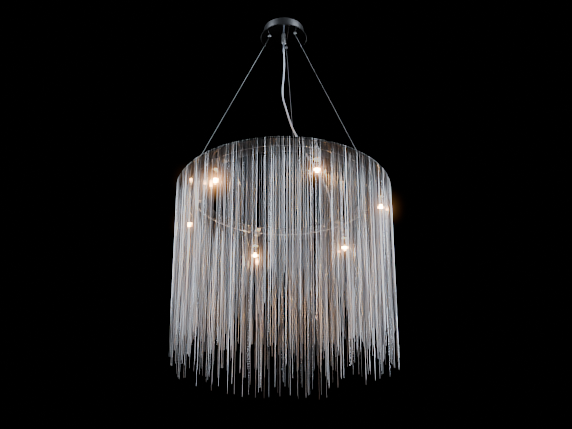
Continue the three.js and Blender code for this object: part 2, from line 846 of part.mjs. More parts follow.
function carrier() {
  const outerHalf = carrierTurn / 2 - CARRIER_SPLIT / SHADE_RADIUS / 2;
  const innerHalf = carrierTurn / 2 - CARRIER_SPLIT / carrierInner / 2;
  const sides = RING_SIDES / CARRIER_COUNT;
  const points = [];
  for (let i = 0; i <= sides; i++)
    points.push(new THREE.Vector2(...at(SHADE_RADIUS, outerHalf * ((2 * i) / sides - 1))));
  for (let i = sides; i >= 0; i--)
    points.push(new THREE.Vector2(...at(carrierInner, innerHalf * ((2 * i) / sides - 1))));
  return new THREE.ExtrudeGeometry(new THREE.Shape(points), {
    depth: CARRIER_THICKNESS,
    bevelEnabled: false,
  }).translate(0, 0, -GAP - CARRIER_THICKNESS);
}

// A stepped strip: riveted under the ring, it drops and reaches out over the lampholder
function holderBracket() {
  const across = [-HOLDER_BRACKET_WIDTH / 2, HOLDER_BRACKET_WIDTH / 2];
  const inner = holderRivetCircle - HOLDER_BRACKET_END;
  const web = [holderWeb - HOLDER_BRACKET_THICKNESS, holderWeb];
  const footEnd = lampCircle + HOLDER_RADIUS;
  const top = -GAP;
  const foot = [-HOLDER_BRACKET_DROP, footTop];
  const strip = joined(
    block([inner, holderWeb], across, [top - HOLDER_BRACKET_THICKNESS, top]),
    block(web, across, [-HOLDER_BRACKET_DROP, top]),
    block([web[0], footEnd], across, foot),
    rivet(top - HOLDER_BRACKET_THICKNESS / 2).translate(holderRivetCircle, 0, 0),
  );
  const through = [-HOLDER_BRACKET_DROP - OVERRUN, footTop + OVERRUN, HOLE_SIDES];
  return cut(
    strip,
    rod(HOLDER_SCREW_RADIUS + GAP, ...through).translate(lampCircle, 0, 0),
    rod(BRANCH_RADIUS + GAP, ...through).translate(lampCircle - BRANCH_END_OFFSET, 0, 0),
  );
}

function lampholder() {
  const socketTop = holderBase + SOCKET_DEPTH;
  const screwSeat = footTop + GAP;
  const body = turned(
    [
      [0, socketTop],
      [SOCKET_RADIUS, socketTop],
      [SOCKET_RADIUS, holderBase],
      [HOLDER_RADIUS - HOLDER_CHAMFER, holderBase],
      [HOLDER_RADIUS, holderBase + HOLDER_CHAMFER],
      [HOLDER_RADIUS, holderTop],
      [HOLDER_SCREW_RADIUS, holderTop],
      [HOLDER_SCREW_RADIUS, screwSeat],
      [HOLDER_SCREW_HEAD_RADIUS, screwSeat],
      [HOLDER_SCREW_HEAD_RADIUS, screwSeat + HOLDER_SCREW_HEAD_HEIGHT],
      [0, screwSeat + HOLDER_SCREW_HEAD_HEIGHT],
    ],
    TURNED_SIDES,
  );
  return body.translate(lampCircle, 0, 0);
}

function bulb() {
  const tip = holderBase - BULB_LENGTH;
  const shoulder = holderBase - BULB_NECK - BULB_SHOULDER;
  const baseTop = holderBase + BULB_BASE_LENGTH;
  const outline = [];
  for (let i = 0; i <= BULB_TIP_STEPS; i++) {
    const angle = ((i / BULB_TIP_STEPS) * Math.PI) / 2;
    outline.push([BULB_RADIUS * Math.sin(angle), tip + BULB_RADIUS * (1 - Math.cos(angle))]);
  }
  outline.push(
    [BULB_RADIUS, shoulder],
    [BULB_BASE_RADIUS, holderBase - BULB_NECK],
    [BULB_BASE_RADIUS, baseTop],
    [0, baseTop],
  );
  const pinLow = baseTop - BULB_NECK;
  const pins = [-BULB_PIN_SPREAD, BULB_PIN_SPREAD].map((y) =>
    rod(BULB_PIN_RADIUS, pinLow, baseTop + BULB_PIN_LENGTH, LEAD_SIDES).translate(0, y, 0),
  );
  return joined(turned(outline, BULB_SIDES), ...pins).translate(lampCircle, 0, 0);
}

// Half the turn that the junction terminal takes out of the harness
const harnessStart = Math.asin((BLOCK_LENGTH / 2 + GAP) / harnessCircle);

class HarnessArc extends THREE.Curve {
  getPoint(t, target = new THREE.Vector3()) {
    const angle = cordAngle + harnessStart + t * (FULL_TURN - 2 * harnessStart);
    return target.set(...at(harnessCircle, angle), harnessHeight);
  }
}

// The sleeve that runs round the top of the ring, with a branch down to each lampholder
function wiringHarness() {
  const main = tube(new HarnessArc(), HARNESS_RADIUS, HARNESS_SIDES, HARNESS_STEPS);
  const branchHeight = onRing + BRANCH_RADIUS;
  const end = lampCircle - BRANCH_END_OFFSET;
  const branch = bentTube(
    [
      [harnessCircle, 0, branchHeight],
      [branchCircle - BRANCH_CORNER, 0, branchHeight],
      [branchCircle, 0, branchHeight - BRANCH_CORNER],
      [branchCircle, 0, -BRANCH_BELOW],
      [end, 0, -BRANCH_TURN],
      [end, 0, holderTop + GAP],
    ],
    BRANCH_RADIUS,
    HARNESS_SIDES,
  );
  return joined(main, ...lampAngles.map((angle) => branch.clone().rotateZ(angle)));
}

function junctionCover() {
  const [halfDepth, halfLength] = [COVER_DEPTH / 2, COVER_LENGTH / 2];
  const shell = block([-halfDepth, halfDepth], [-halfLength, halfLength], [onRing, coverTop]);
  const inside = block(
    [COVER_WALL - halfDepth, halfDepth - COVER_WALL],
    [COVER_WALL - halfLength, halfLength - COVER_WALL],
    [onRing - OVERRUN, coverTop - COVER_WALL],
  );
  const sleeveX = Math.sqrt(harnessCircle ** 2 - halfLength ** 2) - coverCircle;
  const notchHalf = HARNESS_RADIUS + 2 * GAP;
  const notch = block(
    [sleeveX - notchHalf, sleeveX + notchHalf],
    [-halfLength - OVERRUN, halfLength + OVERRUN],
    [onRing - OVERRUN, harnessHeight + notchHalf],
  );
  const glandHole = rod(
    GLAND_THREAD_RADIUS + GAP,
    coverTop - COVER_WALL - OVERRUN,
    coverTop + OVERRUN,
    TURNED_SIDES,
  );
  const bosses = [-BOSS_SIDE, BOSS_SIDE].map((y) =>
    turned(
      [
        [0, 0],
        [BOSS_PEG_RADIUS, 0],
        [BOSS_PEG_RADIUS, onRing],
        [BOSS_RADIUS, onRing],
        [BOSS_RADIUS, coverTop - COVER_WALL / 2],
        [0, coverTop - COVER_WALL / 2],
      ],
      SMALL_SIDES,
    ).translate(-BOSS_IN, y, 0),
  );
  return joined(cut(shell, inside, notch, glandHole), ...bosses).translate(coverCircle, 0, 0);
}

// The connector where the cord meets the harness, with a slit between its two poles
function junctionTerminal() {
  const [halfWidth, halfLength] = [BLOCK_WIDTH / 2, BLOCK_LENGTH / 2];
  const body = block([-halfWidth, halfWidth], [-halfLength, halfLength], [onRing, blockTop]);
  const slit = block(
    [-halfWidth - OVERRUN, CORD_RADIUS - halfWidth],
    [-BLOCK_SLIT / 2, BLOCK_SLIT / 2],
    [onRing + BLOCK_HEIGHT / 2, blockTop + OVERRUN],
  );
  return cut(body, slit).translate(coverCircle, 0, 0);
}

function cordGland() {
  const seat = coverTop + GAP;
  const bore = CORD_RADIUS + GAP;
  return turnedTube(
    [
      [bore, seat - GLAND_THREAD_LENGTH],
      [GLAND_THREAD_RADIUS, seat - GLAND_THREAD_LENGTH],
      [GLAND_THREAD_RADIUS, seat],
      [GLAND_RADIUS, seat],
      [GLAND_RADIUS, seat + GLAND_LENGTH - GLAND_TAPER],
      [GLAND_NOSE_RADIUS, seat + GLAND_LENGTH],
      [bore, seat + GLAND_LENGTH],
    ],
    TURNED_SIDES,
  ).translate(coverCircle, 0, 0);
}

function powerCord() {
  const route = CORD_ROUTE.map(([out, height]) => [out, 0, height]);
  return softTube(route, CORD_RADIUS, CORD_SIDES, CORD_STEPS);
}

function canopy() {
  const group = new THREE.Group();
  group.add(
    piece("ceiling_bracket", ceilingBracket(), "zinc"),
    piece("canopy_drum", canopyDrum(), "brushed"),
    piece("canopy_plate", canopyPlate(), "mirror"),
    piece("drum_screw_right", drumScrew(), "chrome"),
    piece("drum_screw_left", drumScrew().rotateZ(Math.PI), "chrome"),
    piece("cord_grip", cordGrip(), "chrome"),
    piece("cord_grip_nut", nut(CORD_GRIP_NUT_WIDTH, CORD_GRIP_THREAD_RADIUS + GAP), "brass"),
    piece("terminal_block", terminalBlock(), "white"),
    piece("earth_screw", earthScrew(), "brass"),
    piece("lead_live", phaseLead(-1), "brown"),
    piece("lead_neutral", phaseLead(1), "blue"),
    piece("lead_earth", earthLead(), "green"),
  );
  wireAngles.forEach((angle, i) => {
    const gripperNut = nut(GRIPPER_NUT_WIDTH, GRIPPER_THREAD_RADIUS + GAP);
    const gripped = turnedTo(
      angle,
      piece(`wire_gripper_${i + 1}`, gripper().translate(gripperCircle, 0, 0), "chrome"),
      piece(`gripper_nut_${i + 1}`, gripperNut.translate(gripperCircle, 0, 0), "brass"),
      piece(`release_nipple_${i + 1}`, nipple().translate(gripperCircle, 0, 0), "chrome"),
    );
    group.add(gripped);
  });
  return group;
}

function suspension() {
  const group = new THREE.Group();
  wireAngles.forEach((angle, i) => {
    const wire = turnedTo(
      angle,
      piece(`suspension_wire_${i + 1}`, suspensionWire(), "steel"),
      piece(`wire_end_${i + 1}`, wireEndFitting(), "chrome"),
    );
    group.add(wire);
  });
  return group;
}

function shade() {
  const group = new THREE.Group();
  group.position.z = ringZ;
  group.add(piece("ring_plate", ringPlate(), "mirror"));
  ["right", "back", "left", "front"].forEach((side, i) => {
    const middle = i * carrierTurn;
    group.add(turnedTo(middle, piece(`chain_fringe_${side}`, chainFringe(middle), "chain")));
  });
  lampAngles.forEach((angle, i) => {
    const lamp = turnedTo(
      angle,
      piece(`holder_bracket_${i + 1}`, holderBracket(), "steel"),
      piece(`lampholder_${i + 1}`, lampholder(), "ceramic"),
      piece(`bulb_${i + 1}`, bulb(), "glass"),
    );
    group.add(lamp);
  });
  wireAngles.forEach((angle, i) => {
    group.add(turnedTo(angle, piece(`cable_anchor_${i + 1}`, cableAnchor(), "chrome")));
  });
  const inlet = turnedTo(
    cordAngle,
    piece("junction_cover", junctionCover(), "brushed"),
    piece("junction_terminal", junctionTerminal(), "white"),
    piece("cord_gland", cordGland(), "chrome"),
    piece("power_cord", powerCord(), "clear"),
  );
  group.add(inlet, piece("wiring_harness", wiringHarness(), "sleeve"));
  return group;
}

const pendant = new THREE.Group();
pendant.add(canopy(), suspension(), shade());

export default pendant;
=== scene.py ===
"""Looks of a pendant light: a mirror-faced canopy, steel wires, and a ring of lamps behind a chain fringe.

Metres, +Z up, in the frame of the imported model: the origin is the middle of the face against the ceiling.
"""
import json
import math

import bpy
import numpy as np
from mathutils import Matrix, Vector


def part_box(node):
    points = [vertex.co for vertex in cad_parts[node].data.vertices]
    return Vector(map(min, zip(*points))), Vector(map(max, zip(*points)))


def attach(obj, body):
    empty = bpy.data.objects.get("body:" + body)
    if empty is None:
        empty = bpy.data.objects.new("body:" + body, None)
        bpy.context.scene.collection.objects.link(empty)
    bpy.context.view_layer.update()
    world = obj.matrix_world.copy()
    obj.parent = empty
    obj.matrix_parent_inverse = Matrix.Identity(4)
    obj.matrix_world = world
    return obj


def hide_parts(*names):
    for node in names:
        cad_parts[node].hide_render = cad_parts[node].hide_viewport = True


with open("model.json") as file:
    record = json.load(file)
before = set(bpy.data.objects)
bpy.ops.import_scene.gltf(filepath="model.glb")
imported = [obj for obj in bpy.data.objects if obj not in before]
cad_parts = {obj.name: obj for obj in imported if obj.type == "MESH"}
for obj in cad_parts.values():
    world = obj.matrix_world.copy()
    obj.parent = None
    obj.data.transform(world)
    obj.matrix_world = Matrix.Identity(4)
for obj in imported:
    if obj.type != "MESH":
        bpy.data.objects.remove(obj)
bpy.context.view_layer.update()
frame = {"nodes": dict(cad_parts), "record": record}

MM = 0.001
FULL_TURN = 2 * math.pi

# Sizes shared with the model
WIRE_COUNT = 3
WIRE_FIRST_ANGLE = math.radians(79.1)
LAMP_COUNT = 6
LAMP_FIRST_ANGLE = math.radians(48.5)
CORD_RADIUS = 3 * MM
WIRE_RADIUS = 0.75 * MM
GRIPPER_CIRCLE = 45 * MM
ANCHOR_CIRCLE = 272 * MM
LAMP_CIRCLE = 272 * MM
COVER_CIRCLE = 246 * MM
HARNESS_CIRCLE = 250 * MM
SHADE_RADIUS = 300 * MM
RING_INNER_RADIUS = 227 * MM
CARRIER_INNER_RADIUS = 262 * MM
RIVET_CIRCLE = 278 * MM
PIN_HEIGHT = 7 * MM  # of each wire's pin, over the foot of its anchor
GAP = 0.3 * MM  # left between pieces that fit together

# The cord's route in its upright plane: distance from the axis, and height over the ring's lower face
CORD_ROUTE = [
    (0.0, 0.548),
    (0.0, 0.534),
    (0.0, 0.515),
    (0.0, 0.500),
    (0.0015, 0.480),
    (0.003, 0.455),
    (0.003, 0.430),
    (0.001, 0.400),
    (-0.003, 0.370),
    (-0.005, 0.345),
    (-0.0045, 0.325),
    (0.0, 0.307),
    (0.010, 0.290),
    (0.024, 0.266),
    (0.038, 0.245),
    (0.053, 0.230),
    (0.072, 0.216),
    (0.095, 0.199),
    (0.118, 0.182),
    (0.148, 0.164),
    (0.177, 0.147),
    (0.204, 0.130),
    (0.224, 0.112),
    (0.238, 0.090),
    (0.2445, 0.066),
    (0.246, 0.045),
    (0.246, 0.028),
    (0.246, 0.0116),
]

# Fringe
FRINGE_SIDES = ["right", "back", "left", "front"]
OVER_RIM = 301.0 * MM  # the row that is bent over the ring's edge and hangs outside it
FRINGE_ROWS = [  # radius and number of chains
    (OVER_RIM, 380),
    (290.0 * MM, 330),
    (271.5 * MM, 300),
    (265.5 * MM, 320),
]
BENT_FROM = 295.0 * MM  # where its bent ends begin, on the ring's upper face
BENT_THICK = 0.7 * MM
BENT_DEPTH = 6 * MM  # how far down its chains stay against the ring's edge
OUTER_ROWS = 2
BESIDE_LAMP = 285.0 * MM  # where the inner rows pass outside a lampholder
LAMP_ROOM = 12 * MM  # half width of the room left for it
LAMP_ROOM_KEPT = 0.5  # share of the chains there that pass outside it
CHAIN_LONGEST = 540 * MM
CHAIN_SHORTEST = 362 * MM
LENGTH_POWER = 1.6  # above 1, more of the chains are short
BACK_SHORTER = 0.045  # share by which the chains at the back are shorter
BACK_THINNER = 0.35  # share of the chains left out at the back
CHAIN_SECTION = [  # a flat chain's outline, in millimetres
    (0.65, 0.0),
    (0.35, 0.35),
    (-0.35, 0.35),
    (-0.65, 0.0),
    (-0.35, -0.35),
    (0.35, -0.35),
]
CHAIN_STEPS = 22
CHAIN_PITCH = 2.4 * MM  # from one link to the next
CHAIN_TWIST = 0.5  # most turn from its top to its end, in radians, either way
TIP_SWELL = 1.1  # how much wider a chain is just above its end
SPACING_JITTER = 0.3  # either way, as a share of the distance between chains
SIDE_STRAY = 0.6 * MM  # how far the ends stray along the row
INWARD_STRAY = (-1.2, 2.5)  # how far they stray towards the axis, in millimetres
WINDOWS = [  # where the outer rows are thin: middle and half width in degrees, share of chains left out
    (-105.2, 5.6, 0.45),
    (-66.8, 0.9, 1.0),
]
FRONT_VIEW = np.array([0.0, -2.742])  # where the lamps are seen from, in plan
LAMP_SIGHT = 1.4 * MM  # half width of the gaps that show a lamp
LAMP_SIGHT_END = 5 * MM  # how far before the lamp they end
LAMP_SIGHT_SHARES = [0.85, 0.0, 0.85, 0.85, 0.85, 0.85]  # share of the chains in each gap left out
CLUMP_WIDTH = 9 * MM
CLUMP_PULL = 0.12  # largest share of the way to its clump's middle that a chain takes
CLUMP_STAGES = [  # how far down a part of the way begins, over what length, and its share
    (0.0, 0.06, 0.15),
    (0.12, 0.34, 0.85),
]
CLUMP_TONE = 0.15  # share of a chain's tone that comes from its clump
FACING_STRAY = 0.9  # of a chain from its clump's facing, in radians

# Light
LAMP_WATTS = 1.9
LAMP_COLOUR = (1.0, 0.52, 0.2)
STUDIO_COLOUR = (0.83, 0.915, 1.0)
STUDIO_AIM = Vector((0, 0, -0.75))
STUDIO_SPREAD = math.radians(70)
STUDIO = [  # name, azimuth, distance, height, width, tall, watts
    ("key", -160, 3.0, 1.3, 0.8, 2.3, 11.8),
    ("fill", -22, 3.0, 1.3, 0.8, 2.3, 20),
    ("front", -92, 3.6, 1.5, 0.4, 2.2, 0.4),
    ("back", 60, 3.0, 0.6, 0.5, 1.6, 4),
    ("low", -90, 1.3, -2.6, 0.4, 0.4, 2),
    ("above", 90, 0.4, 2.6, 1.8, 1.8, 6),
    ("side_1", -52.5, 3.2, -0.75, 0.5, 1.1, 2.9),
    ("side_2", 52.5, 3.2, -1.0, 0.5, 1.4, 8),
    ("side_3", 127.5, 3.2, -1.0, 0.5, 1.4, 8),
    ("side_4", -127.5, 3.2, -0.75, 0.5, 1.1, 2.2),
]
BLOOM = {"Threshold": 8.0, "Maximum": 200.0, "Strength": 1.7, "Size": 0.04, "Tint": (1.0, 0.74, 0.46, 1)}
SHARPENING = 0.03

RING_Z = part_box("ring_plate")[0][2]
RING_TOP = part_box("ring_plate")[1][2]
PIN_Z = RING_TOP + GAP + PIN_HEIGHT
GLAND_LOW, GLAND_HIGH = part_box("cord_gland")
CORD_ANGLE = math.atan2(GLAND_LOW[1] + GLAND_HIGH[1], GLAND_LOW[0] + GLAND_HIGH[0])


def polar(radius, angle, z=0.0):
    return Vector((radius * math.cos(angle), radius * math.sin(angle), z))


def spread(count, first):
    return [first + FULL_TURN * i / count for i in range(count)]


WIRE_ANGLES = spread(WIRE_COUNT, WIRE_FIRST_ANGLE)
LAMP_ANGLES = spread(LAMP_COUNT, LAMP_FIRST_ANGLE)


def add_object(name, data):
    obj = bpy.data.objects.new(name, data)
    bpy.context.scene.collection.objects.link(obj)
    return obj


def make_camera():
    """The camera as it was solved from the ellipses in the photo."""
    data = bpy.data.cameras.new("camera")
    data.sensor_width = 36
    data.lens = 69.69
    data.shift_x = 0.0041
    data.clip_start = 0.1
    data.clip_end = 60
    camera = add_object("camera", data)
    camera.location = (*FRONT_VIEW, -2.0585)
    camera.rotation_euler = (math.radians(117.415), 0, 0)
    bpy.context.scene.camera = camera


class Look:
    """A material: the values of its Principled shader, and nodes that vary them over the surface."""

    def __init__(self, name, values):
        self.material = bpy.data.materials.new(name)
        self.material.use_nodes = True
        self.tree = self.material.node_tree
        self.shader = self.tree.nodes["Principled BSDF"]
        for socket, value in values.items():
            self.shader.inputs[socket].default_value = value

    def node(self, kind, inputs=None, **settings):
        made = self.tree.nodes.new("ShaderNode" + kind)
        for key, value in settings.items():
            setattr(made, key, value)
        for socket, value in (inputs or {}).items():
            if isinstance(value, bpy.types.NodeSocket):
                self.tree.links.new(value, made.inputs[socket])
            else:
                made.inputs[socket].default_value = value
        return made

    def link(self, source, socket):
        self.tree.links.new(source, self.shader.inputs[socket])

    def place(self):
        return self.node("TexCoord").outputs["Object"]

    def along(self):
        """The uv map that tubes and turned pieces carry."""
        return self.node("UVMap", uv_map="surface").outputs["UV"]

    def scaled(self, vector, scale):
        return self.node("Mapping", {"Vector": vector, "Scale": scale}).outputs["Vector"]

    def noise(self, vector, scale, detail=2.0, roughness=0.5):
        inputs = {"Vector": vector, "Scale": scale, "Detail": detail, "Roughness": roughness}
        return self.node("TexNoise", inputs).outputs["Fac"]

    def maths(self, operation, first, second=0.0):
        made = self.node("Math", {0: first, 1: second}, operation=operation)
        return made.outputs["Value"]

    def mixed(self, first, second, share):
        """The first value's share, and the second value for the rest."""
        rest = self.maths("MULTIPLY", second, 1 - share)
        return self.maths("ADD", self.maths("MULTIPLY", first, share), rest)

    def wound(self, pitch, count):
        """Two angles: along a tube, a full turn for each pitch, and round it, as many turns as the count."""
        parts = self.node("SeparateXYZ", {"Vector": self.along()}).outputs
        run = self.maths("MULTIPLY", parts["X"], FULL_TURN / pitch)
        return run, self.maths("MULTIPLY", parts["Y"], FULL_TURN * count)

    def ranged(self, source, low, high, start=0.0, end=1.0):
        inputs = {"Value": source, "From Min": start, "From Max": end, "To Min": low, "To Max": high}
        return self.node("MapRange", inputs).outputs["Result"]

    def blend(self, factor, first, second):
        made = self.node("MixRGB", {"Fac": factor, "Color1": (*first, 1), "Color2": (*second, 1)})
        return made.outputs["Color"]

    def bump(self, height, strength, distance):
        inputs = {"Height": height, "Strength": strength, "Distance": distance}
        self.link(self.node("Bump", inputs).outputs["Normal"], "Normal")

    def tint(self, factor, first, second):
        self.link(self.blend(factor, first, second), "Base Color")

    def rough(self, factor, low, high):
        self.link(self.ranged(factor, low, high), "Roughness")


def darker(colour, share):
    return tuple(share * c for c in colour)


def polished(name, colour, low, high, grain, wave, painted_rim_shade=False):
    """Bright plated metal: faint wipe marks in its roughness and a hint of unevenness."""
    look = Look(name, {"Metallic": 1.0, "Base Color": (*colour, 1)})
    place = look.place()
    marks = look.noise(look.scaled(place, (grain, grain, grain * 3)), 1.0, 4.0, 0.6)
    rough = look.ranged(marks, low, high)
    if painted_rim_shade:
        # The faces are polished. The rim is rough as it was cut, and its colour is painted nearly black: a
        # painted shade that takes out the lights' reflection along it
        normal = look.node("SeparateXYZ", {"Vector": look.node("NewGeometry").outputs["Normal"]})
        rim = look.ranged(look.maths("ABSOLUTE", normal.outputs["Z"]), 1.0, 0.0, 0.9, 0.98)
        rough = look.maths("ADD", rough, look.maths("MULTIPLY", rim, 0.5))
        look.tint(rim, colour, darker(colour, 0.06))
    else:
        look.tint(marks, darker(colour, 0.93), colour)
    look.link(rough, "Roughness")
    look.bump(look.noise(place, wave), 0.12, 0.3 * MM)
    return look.material


def brushed(name, colour):
    """Metal with fine brush lines that run round its own axis."""
    look = Look(name, {"Metallic": 1.0, "Base Color": (*colour, 1), "Anisotropic": 0.4})
    lines = look.noise(look.scaled(look.along(), (6, 2600, 1)), 1.0, 3.0, 0.7)
    broad = look.noise(look.place(), 30.0)
    look.rough(look.mixed(lines, broad, 0.7), 0.36, 0.56)
    look.tint(lines, darker(colour, 0.84), colour)
    look.bump(lines, 0.25, 0.05 * MM)
    return look.material


def plated(name, colour, scale):
    """Dull plated sheet with small grains of slightly different shine."""
    look = Look(name, {"Metallic": 1.0, "Base Color": (*colour, 1)})
    place = look.place()
    grains = look.node("TexVoronoi", {"Vector": place, "Scale": scale}).outputs["Color"]
    tone = look.node("SeparateColor", {"Color": grains}).outputs["Red"]
    look.rough(tone, 0.32, 0.52)
    look.tint(tone, darker(colour, 0.8), colour)
    look.bump(look.noise(place, scale * 2, 3.0), 0.15, 0.08 * MM)
    return look.material


def moulded(name, colour, roughness):
    """Moulded plastic or core insulation with a fine, slightly mottled skin."""
    look = Look(name, {"Base Color": (*colour, 1)})
    place = look.place()
    broad = look.noise(place, 60.0)
    look.rough(broad, roughness - 0.08, roughness + 0.08)
    look.tint(broad, darker(colour, 0.86), colour)
    look.bump(look.noise(place, 900.0), 0.2, 0.05 * MM)
    return look.material


def chain_look():
    """Fine links on each strand. The tone differs from strand to strand as painted highlight and shade, with
    painted shade close under the ring and a painted falloff of light towards the ends.
    """
    look = Look("chain_metal", {"Metallic": 1.0})
    tone = look.node("Attribute", attribute_name="tone").outputs["Fac"]
    tarnish = look.noise(look.scaled(look.place(), (40, 40, 5)), 1.0, 3.0)
    mixed = look.mixed(tone, tarnish, 0.85)
    depth = look.node("SeparateXYZ", {"Vector": look.along()}).outputs["X"]
    # Painted shade: close under the ring all strands share one dark tone, and each gets its own further down
    start, end = 10 * MM, 55 * MM
    own_share = look.ranged(depth, 0.1, 1.0, start, end)
    shade_under_ring = look.ranged(depth, 0.11, 0.0, start, end)
    # Painted falloff of light: each chain darkens over its last stretch, towards its end
    painted_falloff = look.ranged(depth, 1.0, 0.5, 380 * MM, CHAIN_LONGEST)
    own_tone = look.maths("MULTIPLY", mixed, look.maths("MULTIPLY", own_share, painted_falloff))
    shown = look.maths("ADD", own_tone, shade_under_ring)
    # Painted highlight and shade: the tone runs from a dark warm brown to a bright bluish white, for strands
    # that face the lights and strands that don't
    look.tint(shown, (0.115, 0.095, 0.083), (0.84, 0.885, 0.97))
    look.rough(mixed, 0.42, 0.25)
    links = look.maths("SINE", look.maths("MULTIPLY", depth, FULL_TURN / CHAIN_PITCH))
    look.bump(links, 0.04, 0.1 * MM)
    return look.material


def stranded(name, colour, pitch, starts, roughness):
    """Wires laid round a core: the uv map runs along the rope and round it."""
    look = Look(name, {"Metallic": 1.0})
    lay = look.maths("SINE", look.maths("ADD", *look.wound(pitch, starts)))
    height = look.ranged(lay, 0.0, 1.0, -1.0, 1.0)
    look.tint(height, darker(colour, 0.6), colour)
    look.rough(look.noise(look.place(), 300.0), roughness - 0.06, roughness + 0.08)
    look.bump(height, 0.6, 0.15 * MM)
    return look.material


def braided(name, dark, light, values, pitch, picks):
    """Two sets of threads that cross: for a braid under a clear jacket, or a woven sleeve."""
    look = Look(name, values)
    run, around = look.wound(pitch, picks)
    one = look.maths("SINE", look.maths("ADD", run, around))
    two = look.maths("SINE", look.maths("SUBTRACT", run, around))
    weave = look.ranged(look.maths("MULTIPLY", one, two), 0.0, 1.0, -1.0, 1.0)
    look.tint(weave, dark, light)
    look.rough(look.noise(look.place(), 200.0), 0.16, 0.3)
    look.bump(weave, 0.3, 0.15 * MM)
    return look.material


def ceramic_look():
    look = Look("ceramic", {"Subsurface Weight": 0.1, "Subsurface Scale": 1 * MM})
    place = look.place()
    specks = look.noise(place, 1400.0, 3.0)
    # Painted shade: the cream ceramic is coloured a dark grey, so that the holders stay dim behind the
    # chains
    look.tint(look.noise(place, 45.0, 3.0), (0.26, 0.25, 0.23), (0.34, 0.33, 0.31))
    look.rough(specks, 0.42, 0.62)
    look.bump(specks, 0.2, 0.08 * MM)
    return look.material


def bulb_glass():
    """Clear quartz that lets its filament's light through."""
    look = Look("lit_glass", {"Transmission Weight": 1.0, "IOR": 1.46, "Alpha": 0.3})
    ripple = look.noise(look.place(), 160.0)
    look.tint(ripple, (1.0, 0.95, 0.87), (1.0, 0.98, 0.94))
    look.rough(ripple, 0.0, 0.05)
    look.bump(ripple, 0.05, 0.2 * MM)
    through = look.node("BsdfTransparent")
    shadow = look.node("LightPath").outputs["Is Shadow Ray"]
    mixed = look.node("MixShader", {0: shadow, 1: look.shader.outputs[0], 2: through.outputs[0]})
    look.tree.links.new(mixed.outputs[0], look.tree.nodes["Material Output"].inputs["Surface"])
    return look.material


def filament_look():
    look = Look("filament", {"Roughness": 0.5, "Emission Strength": 1500.0})
    heat = look.noise(look.place(), 900.0, 1.0)
    look.link(look.blend(heat, (1.0, 0.56, 0.2), (1.0, 0.68, 0.34)), "Emission Color")
    look.tint(heat, (0.3, 0.28, 0.26), (0.4, 0.38, 0.35))
    return look.material


def floor_look():
    look = Look("floor", {})
    mottle = look.noise(look.place(), 1.3, 4.0)
    look.tint(mottle, (0.66, 0.655, 0.645), (0.72, 0.715, 0.705))
    look.rough(mottle, 0.55, 0.75)
    return look.material


MIRROR = polished("mirror_steel", (0.45, 0.45, 0.46), low=0.01, high=0.04, grain=9, wave=14.0, painted_rim_shade=True)
RING_STEEL = polished("ring_steel", (0.4, 0.4, 0.41), low=0.05, high=0.12, grain=9, wave=14.0, painted_rim_shade=True)
CHROME = polished("chrome", (0.86, 0.86, 0.88), low=0.1, high=0.2, grain=60, wave=120.0)
SATIN = polished("satin_nickel", (0.92, 0.92, 0.94), low=0.34, high=0.48, grain=60, wave=120.0)
BRUSHED = brushed("brushed_steel", (0.085, 0.085, 0.09))
BRASS = brushed("brass", (0.72, 0.55, 0.26))
ZINC = plated("zinc_plate", (0.58, 0.59, 0.61), scale=260.0)
CHAIN = chain_look()
WIRE_STEEL = stranded("wire_steel", (0.3, 0.3, 0.32), pitch=6 * MM, starts=6, roughness=0.42)
CLEAR_CORD = braided(
    "clear_cord",
    dark=(0.4, 0.44, 0.52),
    light=(0.7, 0.78, 0.95),
    values={"Metallic": 0.25, "Coat Weight": 1.0, "Coat Roughness": 0.06, "Coat IOR": 1.5},
    pitch=5 * MM,
    picks=6,
)
GLASS_SLEEVE = braided(
    "glass_sleeve",
    dark=(0.62, 0.6, 0.55),
    light=(0.88, 0.86, 0.8),
    values={"Sheen Weight": 0.3},
    pitch=2.4 * MM,
    picks=8,
)
CERAMIC = ceramic_look()
GLASS = bulb_glass()
FILAMENT = filament_look()

FINISHES = {  # of the nodes that keep the model's own shape
    "chrome": CHROME,
    "brushed_steel": BRUSHED,
    "brass": BRASS,
    "zinc_plate": ZINC,
    "white_plastic": moulded("white_plastic", (0.88, 0.88, 0.86), roughness=0.42),
    "brown_core": moulded("brown_core", (0.2, 0.09, 0.04), roughness=0.45),
    "blue_core": moulded("blue_core", (0.04, 0.12, 0.36), roughness=0.45),
    "green_core": moulded("green_core", (0.22, 0.34, 0.05), roughness=0.45),
}
SLOT_OF = {entry["node"]: entry["material_slot"] for entry in frame["record"]["subparts"]}
BODY_OF = {node: body for body, nodes in frame["record"]["behaviour"]["bodies"].items() for node in nodes}


def mesh_object(name, vertices, faces, look, uv=None, smooth=True):
    """A mesh with one material. uv has a pair for each corner of each face, in order."""
    mesh = bpy.data.meshes.new(name)
    mesh.from_pydata([tuple(v) for v in vertices], [], [tuple(f) for f in faces])
    if uv is not None:
        layer = mesh.uv_layers.new(name="surface")
        layer.data.foreach_set("uv", np.asarray(uv, dtype=np.float32).ravel())
    mesh.materials.append(look)
    mesh.polygons.foreach_set("use_smooth", [smooth] * len(mesh.polygons))
    return add_object(name, mesh)


def stands_for(piece, node):
    """The piece takes the node's place and body."""
    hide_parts(node)
    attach(piece, BODY_OF[node])


def join(name, pieces):
    """One object from several, with their places kept."""
    with bpy.context.temp_override(active_object=pieces[0], selected_editable_objects=pieces):
        bpy.ops.object.join()
    pieces[0].name = name
    return pieces[0]


def catmull_rom(points, per_span):
    """Points along a smooth curve through the given ones."""
    p = [np.array(q, dtype=float) for q in points]
    p = [2 * p[0] - p[1], *p, 2 * p[-1] - p[-2]]
    out = []
    for a, b, c, d in zip(p, p[1:], p[2:], p[3:]):
        for i in range(per_span):
            t = i / per_span
            cubic = (3 * b - a - 3 * c + d) * t**3
            square = (2 * a - 5 * b + 4 * c - d) * t**2
            out.append(0.5 * (2 * b + (c - a) * t + square + cubic))
    out.append(p[-2])
    return np.array(out)


